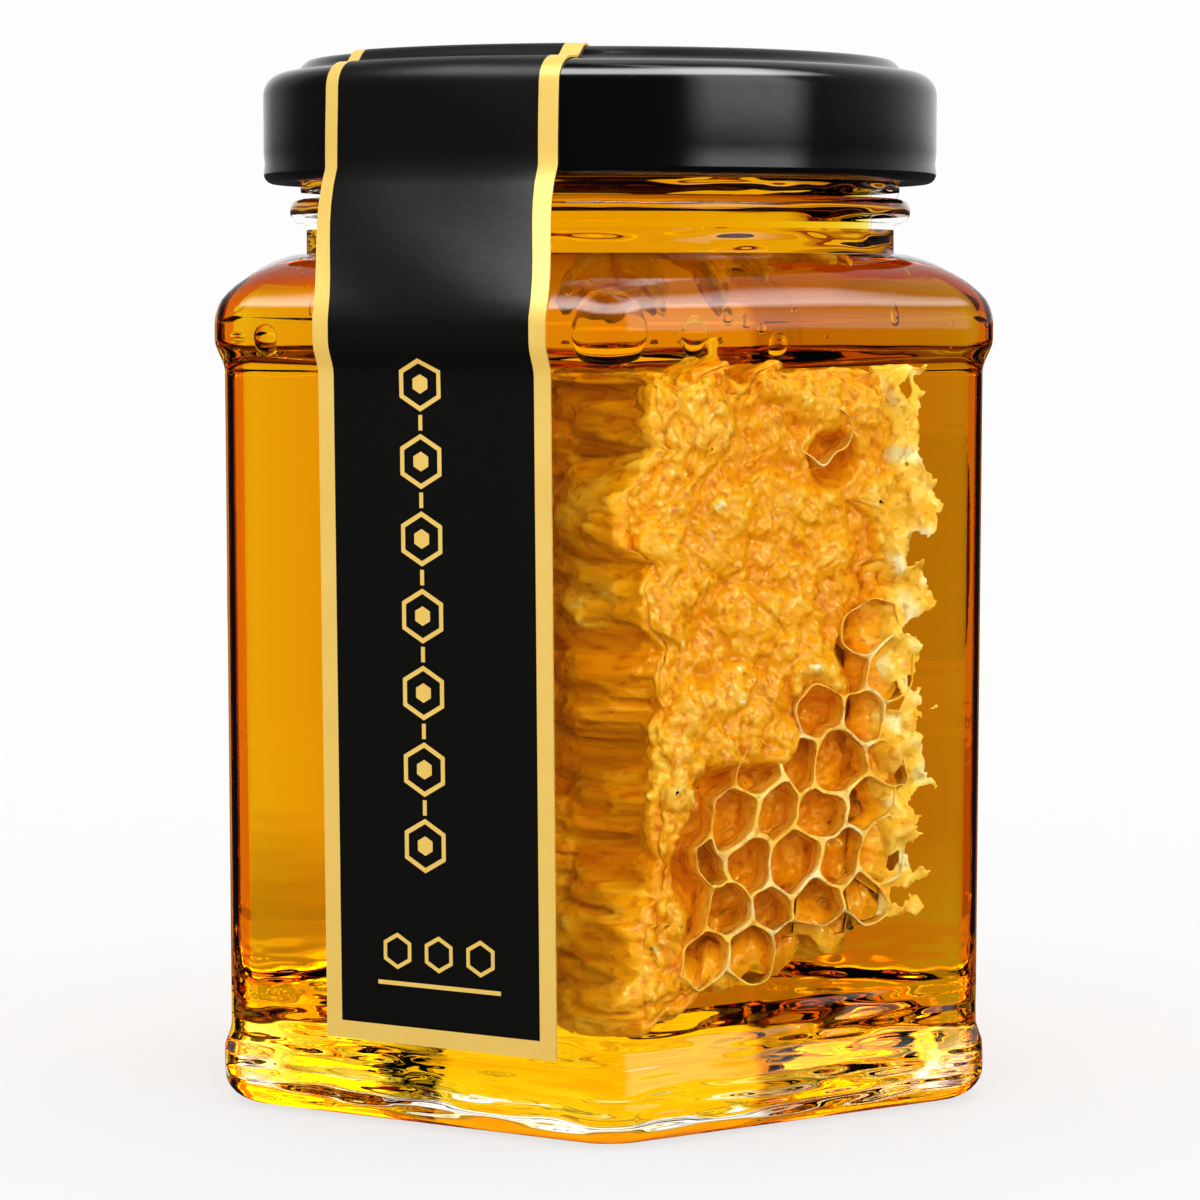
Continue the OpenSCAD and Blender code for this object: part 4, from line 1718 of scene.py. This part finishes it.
    def rise(self, value: bpy.types.NodeSocket, low: float, high: float) -> bpy.types.NodeSocket:
        """Return 0 where a value is at low and 1 where it is at high, and a ramp between."""
        node = self.tree.nodes.new("ShaderNodeMapRange")
        node.inputs["From Min"].default_value = low
        node.inputs["From Max"].default_value = high
        self.tree.links.new(value, node.inputs["Value"])
        return node.outputs["Result"]

    def blend(self, switch: bpy.types.NodeSocket, off: object, on: object) -> bpy.types.NodeSocket:
        """Return the value on where the switch is 1, and off where it is 0."""
        change = self.math("SUBTRACT", on, off)
        return self.math("ADD", self.math("MULTIPLY", change, switch), off)

    def choose(self, switch: bpy.types.NodeSocket, off: object, on: object) -> bpy.types.NodeSocket:
        """Return the colour on where the switch is 1, and off where it is 0; each may be a number."""
        node = self.tree.nodes.new("ShaderNodeMixRGB")
        self.tree.links.new(switch, node.inputs["Fac"])
        for socket, value in zip((node.inputs["Color1"], node.inputs["Color2"]), (off, on)):
            if isinstance(value, bpy.types.NodeSocket):
                self.tree.links.new(value, socket)
            else:
                socket.default_value = (value, value, value, 1)
        return node.outputs["Color"]

    def multiply(self, first: bpy.types.NodeSocket, second: bpy.types.NodeSocket) -> bpy.types.NodeSocket:
        """Return the product of two colours."""
        node = self.tree.nodes.new("ShaderNodeVectorMath")
        node.operation = "MULTIPLY"
        self.tree.links.new(first, node.inputs[0])
        self.tree.links.new(second, node.inputs[1])
        return node.outputs["Vector"]

    def around_ramp(self, around: bpy.types.NodeSocket, stops: list) -> bpy.types.NodeSocket:
        """Return a brightness that follows the direction round the jar.

        Args:
            around: direction as a share of a turn, 0.5 towards the viewer.
            stops: directions in degrees to the viewer's right, and their brightness or colour.

        Returns:
            The brightness.
        """
        node = self.tree.nodes.new("ShaderNodeValToRGB")
        elements = node.color_ramp.elements
        while len(elements) < len(stops):
            elements.new(0.5)
        for element, (degrees, value) in zip(elements, stops):
            element.position = degrees / 360 + 0.5
            element.color = (*value, 1) if isinstance(value, tuple) else (value, value, value, 1)
        self.tree.links.new(around, node.inputs["Fac"])
        return node.outputs["Color"]

    def build(self) -> None:
        """Create the whole studio."""
        self.place_camera()
        self.lay_floor()
        self.light_room()
        scene = bpy.context.scene
        scene.view_settings.view_transform = "Standard"
        scene.cycles.max_bounces = 18
        scene.cycles.transmission_bounces = 16
        scene.cycles.glossy_bounces = 4
        scene.cycles.diffuse_bounces = 4
        scene.cycles.sample_clamp_indirect = 8


def main() -> None:
    """Build the jar and the studio round it."""
    logging.basicConfig(level=logging.INFO, format="%(message)s")
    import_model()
    glass_box, honey_box, lid_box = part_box("glass_jar"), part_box("honey"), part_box("lid")
    strip_box, label_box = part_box("seal_strip"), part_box("side_label")
    jar = GlassJar(height=glass_box[1][2], band_apothem=glass_box[1][0] + 0.01 * MM,
                   honey_level=honey_box[1][2], floor_height=honey_box[0][2])
    lid = Lid(radius=lid_box[1][0], foot=lid_box[0][2], crest=lid_box[1][2])
    strip = SealStrip(jar=jar, lid=lid, foot=strip_box[0][2])
    label = RoundLabel(distance=-label_box[1][0], height=(label_box[0][2] + label_box[1][2]) / 2,
                       diameter=label_box[1][1] - label_box[0][1])
    pieces = jar.build()
    pieces.append(Bubbles(jar).build())
    pieces.append(lid.build())
    pieces += strip.build()
    pieces.append(label.build())
    pieces += Comb().build()
    for piece in pieces:
        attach(piece, BODY)
        LOG.info("piece %s: %d faces", piece.name, len(piece.data.polygons))
    Studio().build()


if __name__ == "__main__":
    main()
